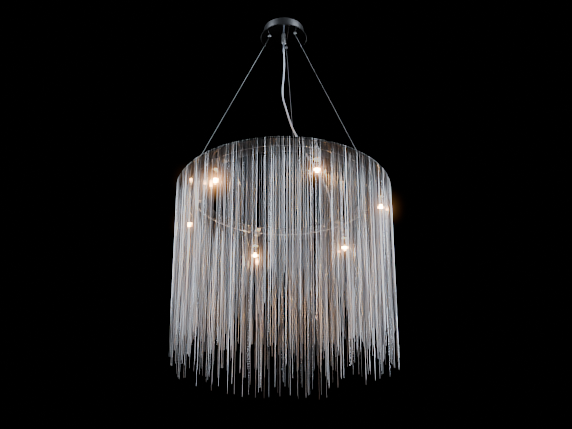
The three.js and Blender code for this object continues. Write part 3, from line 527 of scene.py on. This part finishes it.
def tube(name, path, radius, sides, look):
    """A round tube along a path. Its uv runs in metres along the path and from 0 to 1 round it."""
    path = np.asarray(path, dtype=float)
    tangents = np.gradient(path, axis=0)
    tangents /= np.linalg.norm(tangents, axis=1)[:, None]
    along = np.concatenate([[0], np.cumsum(np.linalg.norm(np.diff(path, axis=0), axis=1))])
    side = np.cross(tangents[0], [0.31, 0.95, 0.05])  # no tube starts out in this direction
    vertices = []
    for centre, tangent in zip(path, tangents):
        side = side - tangent * (side @ tangent)
        side /= np.linalg.norm(side)
        other = np.cross(tangent, side)
        for k in range(sides):
            turn = FULL_TURN * k / sides
            vertices.append(centre + radius * (side * math.cos(turn) + other * math.sin(turn)))
    last = len(path) - 1
    faces = []
    uv = []
    for i in range(last):
        a, b = i * sides, (i + 1) * sides
        low, high = along[i], along[i + 1]
        for k in range(sides):
            n = (k + 1) % sides
            faces.append((a + k, a + n, b + n, b + k))
            uv += [(low, k / sides), (low, (k + 1) / sides), (high, (k + 1) / sides), (high, k / sides)]
    faces.append(tuple(reversed(range(sides))))
    faces.append(tuple(last * sides + k for k in range(sides)))
    uv += [(0, k / sides) for k in range(sides)] + [(along[-1], k / sides) for k in range(sides)]
    return mesh_object(name, vertices, faces, look, uv)


def rounded(start, corner, end, steps):
    """Points of a curve that rounds a corner off."""
    shares = [k / steps for k in range(steps + 1)]
    return [start * (1 - t) ** 2 + corner * (2 * t * (1 - t)) + end * t**2 for t in shares]


def softened(outline, radius, closed):
    """The outline with its corners rounded off, by at most this radius."""
    most = 0.45  # of an edge, so that the curves at its two ends don't meet
    points = [Vector(p) for p in outline]
    count = len(points)
    out = []
    for i, corner in enumerate(points):
        if not closed and i in (0, count - 1):
            out.append(corner)
            continue
        before, after = points[i - 1] - corner, points[(i + 1) % count] - corner
        reach = min(radius, most * before.length, most * after.length)
        start, end = corner + before.normalized() * reach, corner + after.normalized() * reach
        out += rounded(start, corner, end, 3)
    return out


def turned(name, outline, sides, look, matrix=None, edge=0.3 * MM):
    """A body turned about Z from anticlockwise (radius, height) points, from axis to axis or closed."""
    on_axis = outline[0][0] == 0
    points = softened(outline, edge, closed=not on_axis)
    if not on_axis:
        points.append(points[0])
    run = [0.0]
    for a, b in zip(points, points[1:]):
        run.append(run[-1] + (b - a).length)
    rings = []
    vertices = []
    for i, point in enumerate(points):
        if not on_axis and i == len(points) - 1:
            rings.append(rings[0])
            continue
        if point.x == 0:
            rings.append([len(vertices)] * sides)
            vertices.append(Vector((0, 0, point.y)))
            continue
        rings.append([len(vertices) + k for k in range(sides)])
        vertices += [polar(point.x, FULL_TURN * k / sides, point.y) for k in range(sides)]
    faces = []
    uv = []
    for i in range(len(points) - 1):
        a, b = rings[i], rings[i + 1]
        for k in range(sides):
            n = (k + 1) % sides
            corners = [(a[k], k, i), (a[n], k + 1, i), (b[n], k + 1, i + 1), (b[k], k, i + 1)]
            kept = [c for j, c in enumerate(corners) if c[0] != corners[j - 1][0]]
            if len(kept) < 3:
                continue
            faces.append([c[0] for c in kept])
            uv += [(c[1] / sides, run[c[2]]) for c in kept]
    if matrix is not None:
        vertices = [matrix @ v for v in vertices]
    return mesh_object(name, vertices, faces, look, uv)


def refined(node, edge):
    """A CAD node's own shape with its sharp edges broken, for boxes and bent strips."""
    mesh = frame["nodes"][node].data.copy()
    mesh.materials.clear()
    mesh.materials.append(FINISHES[SLOT_OF[node]])
    piece = add_object(node + "_look", mesh)
    weld = piece.modifiers.new("weld", "WELD")
    weld.merge_threshold = 0.01 * MM
    bevel = piece.modifiers.new("bevel", "BEVEL")
    bevel.width = edge
    bevel.segments = 2
    bevel.limit_method = "ANGLE"
    bevel.angle_limit = math.radians(35)
    stands_for(piece, node)


def upright(angle, radius=0.0, z=0.0, lean=0.0):
    """Places a piece drawn about its own axis at a radius and angle, leaned outwards."""
    return (
        Matrix.Rotation(angle, 4, "Z")
        @ Matrix.Translation((radius, 0, z))
        @ Matrix.Rotation(-lean, 4, "Y")
    )


def make_power_cord():
    points = [polar(out, CORD_ANGLE, RING_Z + height) for out, height in CORD_ROUTE]
    path = catmull_rom(points, 5)
    cord = tube("power_cord_look", path, CORD_RADIUS, 16, CLEAR_CORD)
    stands_for(cord, "power_cord")


def make_suspension_wire(index, angle):
    """A taut wire: upright through its gripper, a small bend, then straight to its crimped end."""
    node = f"suspension_wire_{index}"
    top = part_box(node)[1][2]
    bend_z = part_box(f"release_nipple_{index}")[0][2] - GAP
    lean = math.atan2(ANCHOR_CIRCLE - GRIPPER_CIRCLE, bend_z - PIN_Z)
    reach = 2 * MM
    from_pin = 8.7 * MM  # where the wire ends, inside the barrel
    bend = polar(GRIPPER_CIRCLE, angle, bend_z)
    end = polar(ANCHOR_CIRCLE - from_pin * math.sin(lean), angle, PIN_Z + from_pin * math.cos(lean))
    slope = (end - bend).normalized()
    start, finish = bend + Vector((0, 0, reach)), bend + slope * reach
    path = [polar(GRIPPER_CIRCLE, angle, top), *rounded(start, bend, finish, 6)]
    path += [finish + (end - finish) * (k / 24) for k in range(1, 25)]
    path = [list(p) for p in path]
    wire = tube(f"{node}_look", path, WIRE_RADIUS, 10, WIRE_STEEL)
    stands_for(wire, node)
    return lean


def smooth_step(x):
    x = np.clip(x, 0, 1)
    return x * x * (3 - 2 * x)


def wrapped(angles):
    """The same angles, within half a turn of zero."""
    return np.angle(np.exp(1j * angles))


def towards_back(angles):
    """From 0 in front to 1 at the back."""
    return (1 + np.sin(angles)) / 2


def in_window(angles, random):
    """Marks the chains that a window leaves out."""
    out = np.zeros(len(angles), dtype=bool)
    for middle, half, share in WINDOWS:
        away = (np.degrees(angles) - middle + 180) % 360 - 180
        out |= (np.abs(away) < half) & (random.random(len(angles)) < share)
    return out


def beside_lamp(radius, angles):
    """Marks the chains that would meet a lampholder or its bulb."""
    out = np.zeros(len(angles), dtype=bool)
    for lamp in LAMP_ANGLES:
        turn = angles - lamp
        out |= (np.cos(turn) > 0) & (np.abs(radius * np.sin(turn)) < LAMP_ROOM)
    return out


def hides_lamp(radius, angles, random):
    """Marks the chains that would hide a lamp from the front."""
    share = np.zeros(len(angles))
    points = radius * np.stack([np.cos(angles), np.sin(angles)], axis=1) - FRONT_VIEW
    for lamp, own in zip(LAMP_ANGLES, LAMP_SIGHT_SHARES):
        sight = np.array(polar(LAMP_CIRCLE, lamp)[:2]) - FRONT_VIEW
        length = np.linalg.norm(sight)
        along = points @ sight / length
        aside = (points[:, 0] * sight[1] - points[:, 1] * sight[0]) / length
        share[(np.abs(aside) < LAMP_SIGHT) & (along < length - LAMP_SIGHT_END)] = own
    return random.random(len(angles)) < share


def chain_row(radius, count, outer, random):
    """One row of chains: centre lines of shape (chains, steps, 3), angles, tones and facings."""
    jitter = random.uniform(-SPACING_JITTER, SPACING_JITTER, count)
    angles = FULL_TURN * (np.arange(count) + jitter) / count
    angles = (angles + math.pi) % FULL_TURN - math.pi
    angles = angles[random.random(count) > BACK_THINNER * towards_back(angles)]
    angles = angles[~hides_lamp(radius, angles, random)]
    if outer:
        angles = angles[~in_window(angles, random)]
    n = len(angles)
    radii = np.full(n, radius)
    if not outer:
        near = beside_lamp(radius, angles)
        radii[near] = BESIDE_LAMP
        kept = ~near | (random.random(n) < LAMP_ROOM_KEPT)
        angles, radii = angles[kept], radii[kept]
        n = len(angles)
    length = CHAIN_SHORTEST + (CHAIN_LONGEST - CHAIN_SHORTEST) * random.random(n) ** LENGTH_POWER
    length *= 1 - BACK_SHORTER * towards_back(angles)
    share = np.linspace(0, 1, CHAIN_STEPS)[None, :]
    depth = share * length[:, None]

    clump_count = int(FULL_TURN * radius / CLUMP_WIDTH)
    clumps = np.sort(random.uniform(-math.pi, math.pi, clump_count))
    pull = random.uniform(0.0, CLUMP_PULL, clump_count)
    clump_tone = random.random(clump_count)
    clump_facing = random.uniform(0, math.pi, clump_count)
    nearest = np.abs(wrapped(angles[:, None] - clumps[None, :])).argmin(1)
    towards = wrapped(clumps[nearest] - angles)
    gather = sum(part * smooth_step((depth - start) / run) for start, run, part in CLUMP_STAGES)
    drift = (towards * pull[nearest])[:, None] * gather
    drift = drift + random.normal(0, SIDE_STRAY / radius, n)[:, None] * share
    theta = angles[:, None] + drift
    inwards = random.uniform(*INWARD_STRAY, n)[:, None] * MM * share
    rho = radii[:, None] - inwards
    top = RING_Z - GAP - 1 * MM  # within the carrier's thickness
    if radius == OVER_RIM:
        top = RING_TOP + BENT_THICK
        rho = np.where(depth < BENT_DEPTH, radius, np.minimum(rho, radius))
    z = top - depth
    lines = np.stack([rho * np.cos(theta), rho * np.sin(theta), z + 0 * theta], axis=2)
    # A chain's tone, random and partly shared with its clump, is painted highlight and shade for how it
    # faces the lights
    tone = smooth_step(CLUMP_TONE * clump_tone[nearest] + (1 - CLUMP_TONE) * random.random(n))
    facing = clump_facing[nearest] + random.normal(0, FACING_STRAY, n)
    return lines, angles, tone, facing


def set_tones(piece, tone, vertices_each):
    """Stores each chain's tone at its vertices, for its material."""
    tones = np.repeat(tone, vertices_each).astype(np.float32)
    piece.data.attributes.new("tone", "FLOAT", "POINT").data.foreach_set("value", tones)


def chain_mesh(name, lines, tone, facing, random):
    """Closed flat tubes along many lines at once, each with a tone of its own."""
    count, steps, _ = lines.shape
    sides = len(CHAIN_SECTION)
    twist = random.uniform(-CHAIN_TWIST, CHAIN_TWIST, count)[:, None] * np.linspace(0, 1, steps)[None, :]
    turn = (facing[:, None] + twist)[..., None]
    u, v = (MM * np.array(CHAIN_SECTION)).T[:, None, None, :]
    swell = np.ones(steps)
    swell[-2] = TIP_SWELL
    swell = swell[None, :, None]
    vertices = np.empty((count, steps, sides, 3))
    vertices[..., 0] = lines[:, :, None, 0] + swell * (u * np.cos(turn) - v * np.sin(turn))
    vertices[..., 1] = lines[:, :, None, 1] + swell * (u * np.sin(turn) + v * np.cos(turn))
    vertices[..., 2] = lines[:, :, None, 2]
    index = np.arange(count * steps * sides).reshape(count, steps, sides)
    a, b = index[:, :-1], index[:, 1:]
    quads = np.stack([a, b, np.roll(b, -1, axis=2), np.roll(a, -1, axis=2)], axis=3)
    quads = quads.reshape(-1, 4)
    caps = np.concatenate([index[:, 0], index[:, -1, ::-1]])
    mesh = bpy.data.meshes.new(name)
    mesh.from_pydata(vertices.reshape(-1, 3), [], [*quads.tolist(), *caps.tolist()])

    depth = lines[:, 0, 2][:, None] - lines[:, :, 2]
    low, high = depth[:, :-1, None], depth[:, 1:, None]
    k = np.arange(sides)[None, None, :] / sides
    step = 1 / sides
    full = np.broadcast_arrays(low, high, high, low, k, k, k + step, k + step)
    uv = np.stack([np.stack(full[:4], axis=3), np.stack(full[4:], axis=3)], axis=4).reshape(-1, 2)
    flat = np.zeros((caps.size, 2))
    layer = mesh.uv_layers.new(name="surface")
    layer.data.foreach_set("uv", np.concatenate([uv, flat]).astype(np.float32).ravel())

    mesh.materials.append(CHAIN)
    mesh.polygons.foreach_set("use_smooth", [False] * len(mesh.polygons))
    piece = add_object(name, mesh)
    set_tones(piece, tone, steps * sides)
    return piece


def bent_ends(name, tops, tone):
    """The ends of the outermost chains, bent over the ring's edge and flat on its upper face."""
    half_width, half_thick = CHAIN_SECTION[0][0] * MM, CHAIN_SECTION[1][1] * MM
    lift = 0.05 * MM
    corners = [(s, r, z) for z in (0, 1) for r, s in ((0, -1), (1, -1), (1, 1), (0, 1))]
    sides = [(3, 2, 1, 0), (4, 5, 6, 7), (0, 1, 5, 4), (1, 2, 6, 5), (2, 3, 7, 6), (3, 0, 4, 7)]
    vertices = []
    faces = []
    for x, y, _ in tops:
        angle = math.atan2(y, x)
        outwards, aside = polar(1, angle), polar(1, angle + math.pi / 2)
        first = len(vertices)
        for s, r, z in corners:
            out = OVER_RIM + half_thick if r else BENT_FROM
            height = RING_TOP + (BENT_THICK if z else lift)
            vertices.append(outwards * out + aside * (s * half_width) + Vector((0, 0, height)))
        faces += [tuple(first + k for k in side) for side in sides]
    uv = [(0, 0)] * (4 * len(faces))
    piece = mesh_object(name, vertices, faces, CHAIN, uv, smooth=False)
    set_tones(piece, tone, len(corners))
    return piece


def make_fringe():
    random = np.random.default_rng(4)
    rows = [
        chain_row(radius, count, i < OUTER_ROWS, random)
        for i, (radius, count) in enumerate(FRINGE_ROWS)
    ]
    lines, angles, tone, facing = (np.concatenate(parts) for parts in zip(*rows))
    quarter = np.round(angles / (FULL_TURN / 4)).astype(int) % 4
    for i, side in enumerate(FRINGE_SIDES):
        node = f"chain_fringe_{side}"
        own = quarter == i
        strands = chain_mesh(f"{node}_strands", lines[own], tone[own], facing[own], random)
        bent = own & (lines[:, 0, 2] > RING_TOP)
        ends = bent_ends("ends", lines[bent, 0], tone[bent])
        stands_for(join(f"{node}_strands", [strands, ends]), node)


def make_carrier(index, side):
    """The thin strip over a quarter of the chains: a bead along its rolled inner edge, and three rivets."""
    top = RING_Z - GAP
    inner, outer, sheet = CARRIER_INNER_RADIUS, SHADE_RADIUS, 1.5 * MM
    roll, bead_radius = 1.2 * MM, 1.3 * MM
    section = [(outer, top - sheet), (outer, top)]
    for k in range(9):
        turn = math.pi / 2 + math.pi * k / 8
        section.append((inner + roll + roll * math.cos(turn), top - roll + roll * math.sin(turn)))
    section.append((inner + 3 * MM, top - sheet))
    steps = 48
    half = FULL_TURN / 8 - 0.5 * MM / outer  # a little short of the next carrier
    middle = index * FULL_TURN / 4
    turns = [middle + half * (2 * i / steps - 1) for i in range(steps + 1)]
    vertices = [polar(radius, turn, z) for turn in turns for radius, z in section]
    n = len(section)
    faces = []
    uv = []
    for i in range(steps):
        for k in range(n):
            m = (k + 1) % n
            faces.append((i * n + k, (i + 1) * n + k, (i + 1) * n + m, i * n + m))
            here, there, low, high = i / steps, (i + 1) / steps, k / n, (k + 1) / n
            uv += [(here, low), (there, low), (there, high), (here, high)]
    faces.append(tuple(range(n)))
    faces.append(tuple(steps * n + k for k in reversed(range(n))))
    uv += [(0, 0)] * (2 * n)
    strip = mesh_object(f"carrier_{side}", vertices, faces, RING_STEEL, uv, smooth=False)
    route = [polar(inner + roll, turn, top - bead_radius) for turn in turns]
    bead = tube("bead", route, bead_radius, 10, SATIN)
    heads = []
    for turn in (-30, 0, 30):
        outline = [(0, 0), (3.2 * MM, 0), (1.7 * MM, 1.2 * MM), (0, 1.3 * MM)]
        place = upright(middle + math.radians(turn), RIVET_CIRCLE, RING_TOP + GAP)
        heads.append(turned("head", outline, 16, CHROME, place))
    piece = join(f"carrier_{side}", [strip, bead, *heads])
    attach(piece, "shade")


def make_ring():
    outline = [
        (RING_INNER_RADIUS, RING_Z),
        (SHADE_RADIUS, RING_Z),
        (SHADE_RADIUS, RING_TOP),
        (RING_INNER_RADIUS, RING_TOP),
    ]
    stands_for(turned("ring_plate_look", outline, 240, RING_STEEL, edge=0.4 * MM), "ring_plate")


def make_canopy():
    plate_low, plate_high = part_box("canopy_plate")
    radius = plate_high[0]
    low, high = plate_low[2], plate_high[2]
    bevel = 0.8 * MM
    outline = [(0, low), (radius - bevel, low), (radius, low + bevel), (radius, high), (0, high)]
    stands_for(turned("canopy_plate_look", outline, 128, MIRROR), "canopy_plate")

    drum_low, drum_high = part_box("canopy_drum")
    radius, wall = drum_high[0], 1.2 * MM
    low, high = drum_low[2], drum_high[2]
    outline = [
        (0, low),
        (radius, low),
        (radius, high),
        (radius - wall, high),
        (radius - wall, low + wall),
        (0, low + wall),
    ]
    stands_for(turned("canopy_drum_look", outline, 128, BRUSHED, edge=0.5 * MM), "canopy_drum")

    for side, angle in (("right", 0.0), ("left", math.pi)):
        node = f"drum_screw_{side}"
        low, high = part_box(node)
        reach = max(abs(low[0]), abs(high[0]))
        inner = min(abs(low[0]), abs(high[0]))
        head = radius + GAP
        outline = [
            (0, inner),
            (2 * MM, inner),
            (2 * MM, head),
            (3.6 * MM, head),
            (3.2 * MM, head + 1.1 * MM),
            (2 * MM, reach),
            (1.2 * MM, reach),
            (1.1 * MM, reach - 1 * MM),
            (0, reach - 1 * MM),
        ]
        place = Matrix.Rotation(angle, 4, "Z") @ Matrix.Translation((0, 0, (low[2] + high[2]) / 2))
        place = place @ Matrix.Rotation(math.pi / 2, 4, "Y")
        stands_for(turned(f"{node}_look", outline, 20, CHROME, place), node)


def make_cord_grip():
    low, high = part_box("cord_grip")
    base, flange, top = low[2], low[2] + 19 * MM, high[2]
    bore = CORD_RADIUS + GAP
    outline = [
        (bore, base),
        (5.3 * MM, base),
        (6.5 * MM, base + 1.2 * MM),
        (6.5 * MM, base + 6 * MM),
        (6.1 * MM, base + 6.4 * MM),
        (6.1 * MM, base + 7 * MM),
        (6.5 * MM, base + 7.4 * MM),
        (6.5 * MM, flange),
        (5 * MM, flange),
        (5 * MM, top),
        (bore, top),
    ]
    stands_for(turned("cord_grip_look", outline, 40, SATIN), "cord_grip")


def make_gripper(index, angle):
    node = f"wire_gripper_{index}"
    low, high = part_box(node)
    base, flange, top = low[2], low[2] + 2 * MM, high[2]
    mouth, chamber = 2.5 * MM, 3.3 * MM
    place = upright(angle, GRIPPER_CIRCLE)
    outline = [
        (mouth, base),
        (4.4 * MM, base),
        (5 * MM, base + 0.6 * MM),
        (5 * MM, flange),
        (4 * MM, flange),
        (4 * MM, top),
        (chamber, top),
        (chamber, base + 1.2 * MM),
        (mouth, base + 1.2 * MM),
    ]
    stands_for(turned(f"{node}_look", outline, 32, SATIN, place, 0.2 * MM), node)

    node = f"release_nipple_{index}"
    low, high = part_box(node)
    base, top = low[2], high[2]
    bore = WIRE_RADIUS + GAP
    collar = top - 1.6 * MM
    outline = [
        (bore, base + 0.3 * MM),
        (bore + 0.3 * MM, base),
        (1.8 * MM, base),
        (2.2 * MM, base + 0.5 * MM),
        (2.2 * MM, collar),
        (2.9 * MM, collar),
        (2.9 * MM, top),
        (bore, top),
    ]
    stands_for(turned(f"{node}_look", outline, 24, SATIN, place, 0.15 * MM), node)


def make_wire_end(index, angle, lean):
    """The crimped eye, on its pin between the anchor's ears."""
    place = upright(angle, ANCHOR_CIRCLE, PIN_Z, lean)
    flat = Matrix.Rotation(math.pi / 2, 4, "X")
    half = 1.3 * MM
    hole = 1.9 * MM
    eye = [(hole, -half), (4.2 * MM, -half), (4.2 * MM, half), (hole, half)]
    barrel = [
        (1.05 * MM, 6.0 * MM),
        (1.7 * MM, 3.6 * MM),
        (2.2 * MM, 6.4 * MM),
        (2.2 * MM, 9.0 * MM),
        (1.85 * MM, 9.6 * MM),
        (1.85 * MM, 11.2 * MM),
        (2.2 * MM, 11.8 * MM),
        (2.2 * MM, 13.2 * MM),
        (1.85 * MM, 13.8 * MM),
        (1.85 * MM, 15.4 * MM),
        (2.2 * MM, 16.0 * MM),
        (2.2 * MM, 18.4 * MM),
        (1.05 * MM, 18.4 * MM),
    ]
    parts = [
        turned("eye", eye, 24, CHROME, place @ flat),
        turned("barrel", barrel, 24, CHROME, place, 0.2 * MM),
    ]
    node = f"wire_end_{index}"
    stands_for(join(f"{node}_look", parts), node)


def make_gland():
    low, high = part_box("cord_gland")
    seat = low[2] + 3 * MM
    bore = CORD_RADIUS + GAP
    outline = [
        (bore, low[2]),
        (4.6 * MM, low[2]),
        (4.6 * MM, seat),
        (7 * MM, seat),
        (7 * MM, seat + 4 * MM),
        (6.6 * MM, seat + 4.3 * MM),
        (6.6 * MM, seat + 4.9 * MM),
        (7 * MM, seat + 5.2 * MM),
        (7 * MM, high[2] - 3 * MM),
        (5 * MM, high[2]),
        (bore, high[2]),
    ]
    place = upright(CORD_ANGLE, COVER_CIRCLE)
    stands_for(turned("cord_gland_look", outline, 32, CHROME, place), "cord_gland")


def make_harness():
    """The woven sleeve round the ring and its branches to the lampholders."""
    start = 9.3 * MM / HARNESS_CIRCLE  # from the cord's angle to each end of the sleeve
    height = RING_TOP + GAP + 2 * MM
    steps = 180
    path = [
        polar(HARNESS_CIRCLE, CORD_ANGLE + start + (FULL_TURN - 2 * start) * i / steps, height)
        for i in range(steps + 1)
    ]
    parts = [tube("sleeve", path, 2 * MM, 12, GLASS_SLEEVE)]
    low = RING_TOP + GAP + 1.5 * MM
    end = LAMP_CIRCLE - 6 * MM
    holder_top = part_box("lampholder_1")[1][2] - 3.7 * MM
    for angle in LAMP_ANGLES:
        points = [
            polar(HARNESS_CIRCLE, angle, low),
            polar(255 * MM, angle, low),
            polar(258.6 * MM, angle, low - 1 * MM),
            polar(259 * MM, angle, RING_Z),
            polar(259 * MM, angle, RING_Z - 4 * MM),
            polar(260.5 * MM, angle, RING_Z - 6.6 * MM),
            polar(end - 1 * MM, angle, RING_Z - 8.2 * MM),
            polar(end, angle, RING_Z - 10 * MM),
            polar(end, angle, holder_top),
        ]
        parts.append(tube("branch", catmull_rom(points, 4), 1.5 * MM, 10, GLASS_SLEEVE))
    stands_for(join("wiring_harness_look", parts), "wiring_harness")


def make_holder(index, place, base):
    """A ceramic lampholder, with the screw that holds it to its bracket."""
    node = f"lampholder_{index}"
    top, head_top = base + 29 * MM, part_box(node)[1][2]
    outline = [
        (0, base + 12 * MM),
        (5.2 * MM, base + 12 * MM),
        (5.2 * MM, base),
        (7.5 * MM, base),
        (9 * MM, base + 1.5 * MM),
        (9 * MM, base + 7 * MM),
        (8.3 * MM, base + 7.5 * MM),
        (8.3 * MM, base + 8.7 * MM),
        (9 * MM, base + 9.2 * MM),
        (9 * MM, top - 5 * MM),
        (8.1 * MM, top - 3.5 * MM),
        (8.1 * MM, top),
        (1.5 * MM, top),
        (1.5 * MM, top + 2.1 * MM),
        (2.7 * MM, top + 2.1 * MM),
        (2.2 * MM, head_top),
        (0, head_top),
    ]
    stands_for(turned(f"{node}_look", outline, 40, CERAMIC, place), node)


def make_bulb(index, place, base, tip):
    """A clear, hollow capsule on its two pins."""
    radius = 7 * MM
    wall = 0.9 * MM
    inner_radius = radius - wall
    neck = base - 5 * MM
    seal = base + 6 * MM
    quarter = [math.pi / 2 * k / 8 for k in range(1, 9)]
    shell = [(0, tip)]
    shell += [(radius * math.sin(t), tip + radius * (1 - math.cos(t))) for t in quarter]
    shell += [(radius, neck), (4.7 * MM, base - 1 * MM), (4.7 * MM, seal), (0, seal)]
    hollow = [(0, neck), (inner_radius, neck), (inner_radius, tip + radius)]
    hollow += [(inner_radius * math.cos(t), tip + radius - inner_radius * math.sin(t)) for t in quarter[:-1]]
    hollow.append((0, tip + wall))
    envelope = turned("envelope", shell, 32, GLASS, place)
    cavity = turned("cavity", hollow, 32, GLASS, place)
    low, high = base - 4 * MM, base + 10.5 * MM
    pin = [(0, low), (0.6 * MM, low), (0.6 * MM, high), (0, high)]
    pins = []
    for aside in (-2.2 * MM, 2.2 * MM):
        pin_place = place @ Matrix.Translation((0, aside, 0))
        pins.append(turned("pin", pin, 10, CHROME, pin_place, 0.1 * MM))
    bulb = join(f"bulb_{index}_glass", [envelope, cavity, *pins])
    stands_for(bulb, f"bulb_{index}")
    return bulb


def make_filament(index, place, base, middle):
    """The glowing coil, on its two legs."""
    turns, height, coil_radius = 6, 6 * MM, 1.5 * MM
    steps = turns * 10
    coil = []
    for i in range(steps + 1):
        turn = FULL_TURN * turns * (i / steps)
        coil.append(place @ polar(coil_radius, turn, middle + height * (i / steps - 0.5)))
    parts = [tube(f"bulb_{index}_filament", coil, 0.4 * MM, 6, FILAMENT)]
    for side, end in ((-1, middle + height / 2), (1, middle - height / 2)):
        leg = [
            Vector((0, side * 2.2 * MM, base - 3 * MM)),
            Vector((0, side * 2.6 * MM, (base + end) / 2)),
            Vector((0, side * 2.4 * MM, end)),
            Vector((coil_radius, 0, end)),
        ]
        parts.append(tube("leg", catmull_rom([place @ p for p in leg], 4), 0.25 * MM, 6, CHROME))
    filament = join(f"bulb_{index}_filament", parts)
    filament.visible_diffuse = False
    filament.visible_glossy = False
    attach(filament, f"bulb_{index}")


def make_lamp(index, angle):
    """A holder, a capsule with its filament, and the light that it gives."""
    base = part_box(f"lampholder_{index}")[0][2]
    tip = base - 42 * MM
    middle = tip + 12 * MM
    place = upright(angle, LAMP_CIRCLE)
    make_holder(index, place, base)
    bulb = make_bulb(index, place, base, tip)
    make_filament(index, place, base, middle)

    data = bpy.data.lights.new(f"lamp_{index}", "POINT")
    data.energy = LAMP_WATTS
    data.color = LAMP_COLOUR
    data.shadow_soft_size = 4 * MM
    lamp = add_object(f"lamp_{index}", data)
    lamp.location = place @ Vector((0, 0, middle))
    lamp.parent = bulb


def make_lights():
    """Tall soft boxes at both sides, weak ones in front, behind and overhead, low ones for level views."""
    for name, azimuth, distance, height, width, tall, watts in STUDIO:
        data = bpy.data.lights.new(name, "AREA")
        data.shape = "RECTANGLE"
        data.size = width
        data.size_y = tall
        data.energy = watts
        data.color = STUDIO_COLOUR
        data.spread = STUDIO_SPREAD
        light = add_object(name, data)
        light.location = polar(distance, math.radians(azimuth), height)
        light.rotation_euler = (STUDIO_AIM - light.location).to_track_quat("-Z", "Y").to_euler()
        light.visible_camera = False


def make_floor():
    size, z = 14.0, -4.6  # low enough for the views from straight below
    corners = [(-size, -size, z), (size, -size, z), (size, size, z), (-size, size, z)]
    floor = mesh_object("floor", corners, [(0, 1, 2, 3)], floor_look(), smooth=False)


def make_world():
    """Black all round, so that only the soft boxes and the lamps give light."""
    world = bpy.data.worlds.new("world")
    world.use_nodes = True
    world.node_tree.nodes["Background"].inputs["Strength"].default_value = 0.0
    bpy.context.scene.world = world


def make_glow():
    """The soft bloom round the lamps, and the slight sharpening, that a camera gives."""
    scene = bpy.context.scene
    scene.use_nodes = True
    tree = scene.node_tree
    tree.nodes.clear()
    layers = tree.nodes.new("CompositorNodeRLayers")
    glare = tree.nodes.new("CompositorNodeGlare")
    glare.glare_type = "BLOOM"
    for socket, value in BLOOM.items():
        glare.inputs[socket].default_value = value
    sharp = tree.nodes.new("CompositorNodeFilter")
    sharp.filter_type = "SHARPEN"
    sharp.inputs["Fac"].default_value = SHARPENING
    capped = tree.nodes.new("CompositorNodeMixRGB")
    capped.blend_type = "DARKEN"
    capped.inputs[2].default_value = (1, 1, 1, 1)
    both = tree.nodes.new("CompositorNodeMixRGB")
    both.blend_type = "ADD"
    output = tree.nodes.new("CompositorNodeComposite")
    tree.links.new(layers.outputs["Image"], capped.inputs[1])
    tree.links.new(capped.outputs["Image"], sharp.inputs["Image"])
    tree.links.new(layers.outputs["Image"], glare.inputs["Image"])
    tree.links.new(sharp.outputs["Image"], both.inputs[1])
    tree.links.new(glare.outputs["Glare"], both.inputs[2])
    tree.links.new(both.outputs["Image"], output.inputs["Image"])


make_camera()
make_power_cord()
leans = [make_suspension_wire(i + 1, angle) for i, angle in enumerate(WIRE_ANGLES)]
make_ring()
make_fringe()
for i, side in enumerate(FRINGE_SIDES):
    make_carrier(i, side)
make_canopy()
make_cord_grip()
for i, angle in enumerate(WIRE_ANGLES):
    make_gripper(i + 1, angle)
    make_wire_end(i + 1, angle, leans[i])
    refined(f"cable_anchor_{i + 1}", 0.3 * MM)
    refined(f"gripper_nut_{i + 1}", 0.3 * MM)
make_gland()
make_harness()
for i, angle in enumerate(LAMP_ANGLES):
    make_lamp(i + 1, angle)
    refined(f"holder_bracket_{i + 1}", 0.3 * MM)
for node in ("ceiling_bracket", "cord_grip_nut", "terminal_block", "junction_cover", "junction_terminal"):
    refined(node, 0.3 * MM)
for node in ("lead_live", "lead_neutral", "lead_earth", "earth_screw"):
    refined(node, 0.15 * MM)
make_lights()
make_floor()
make_world()
make_glow()
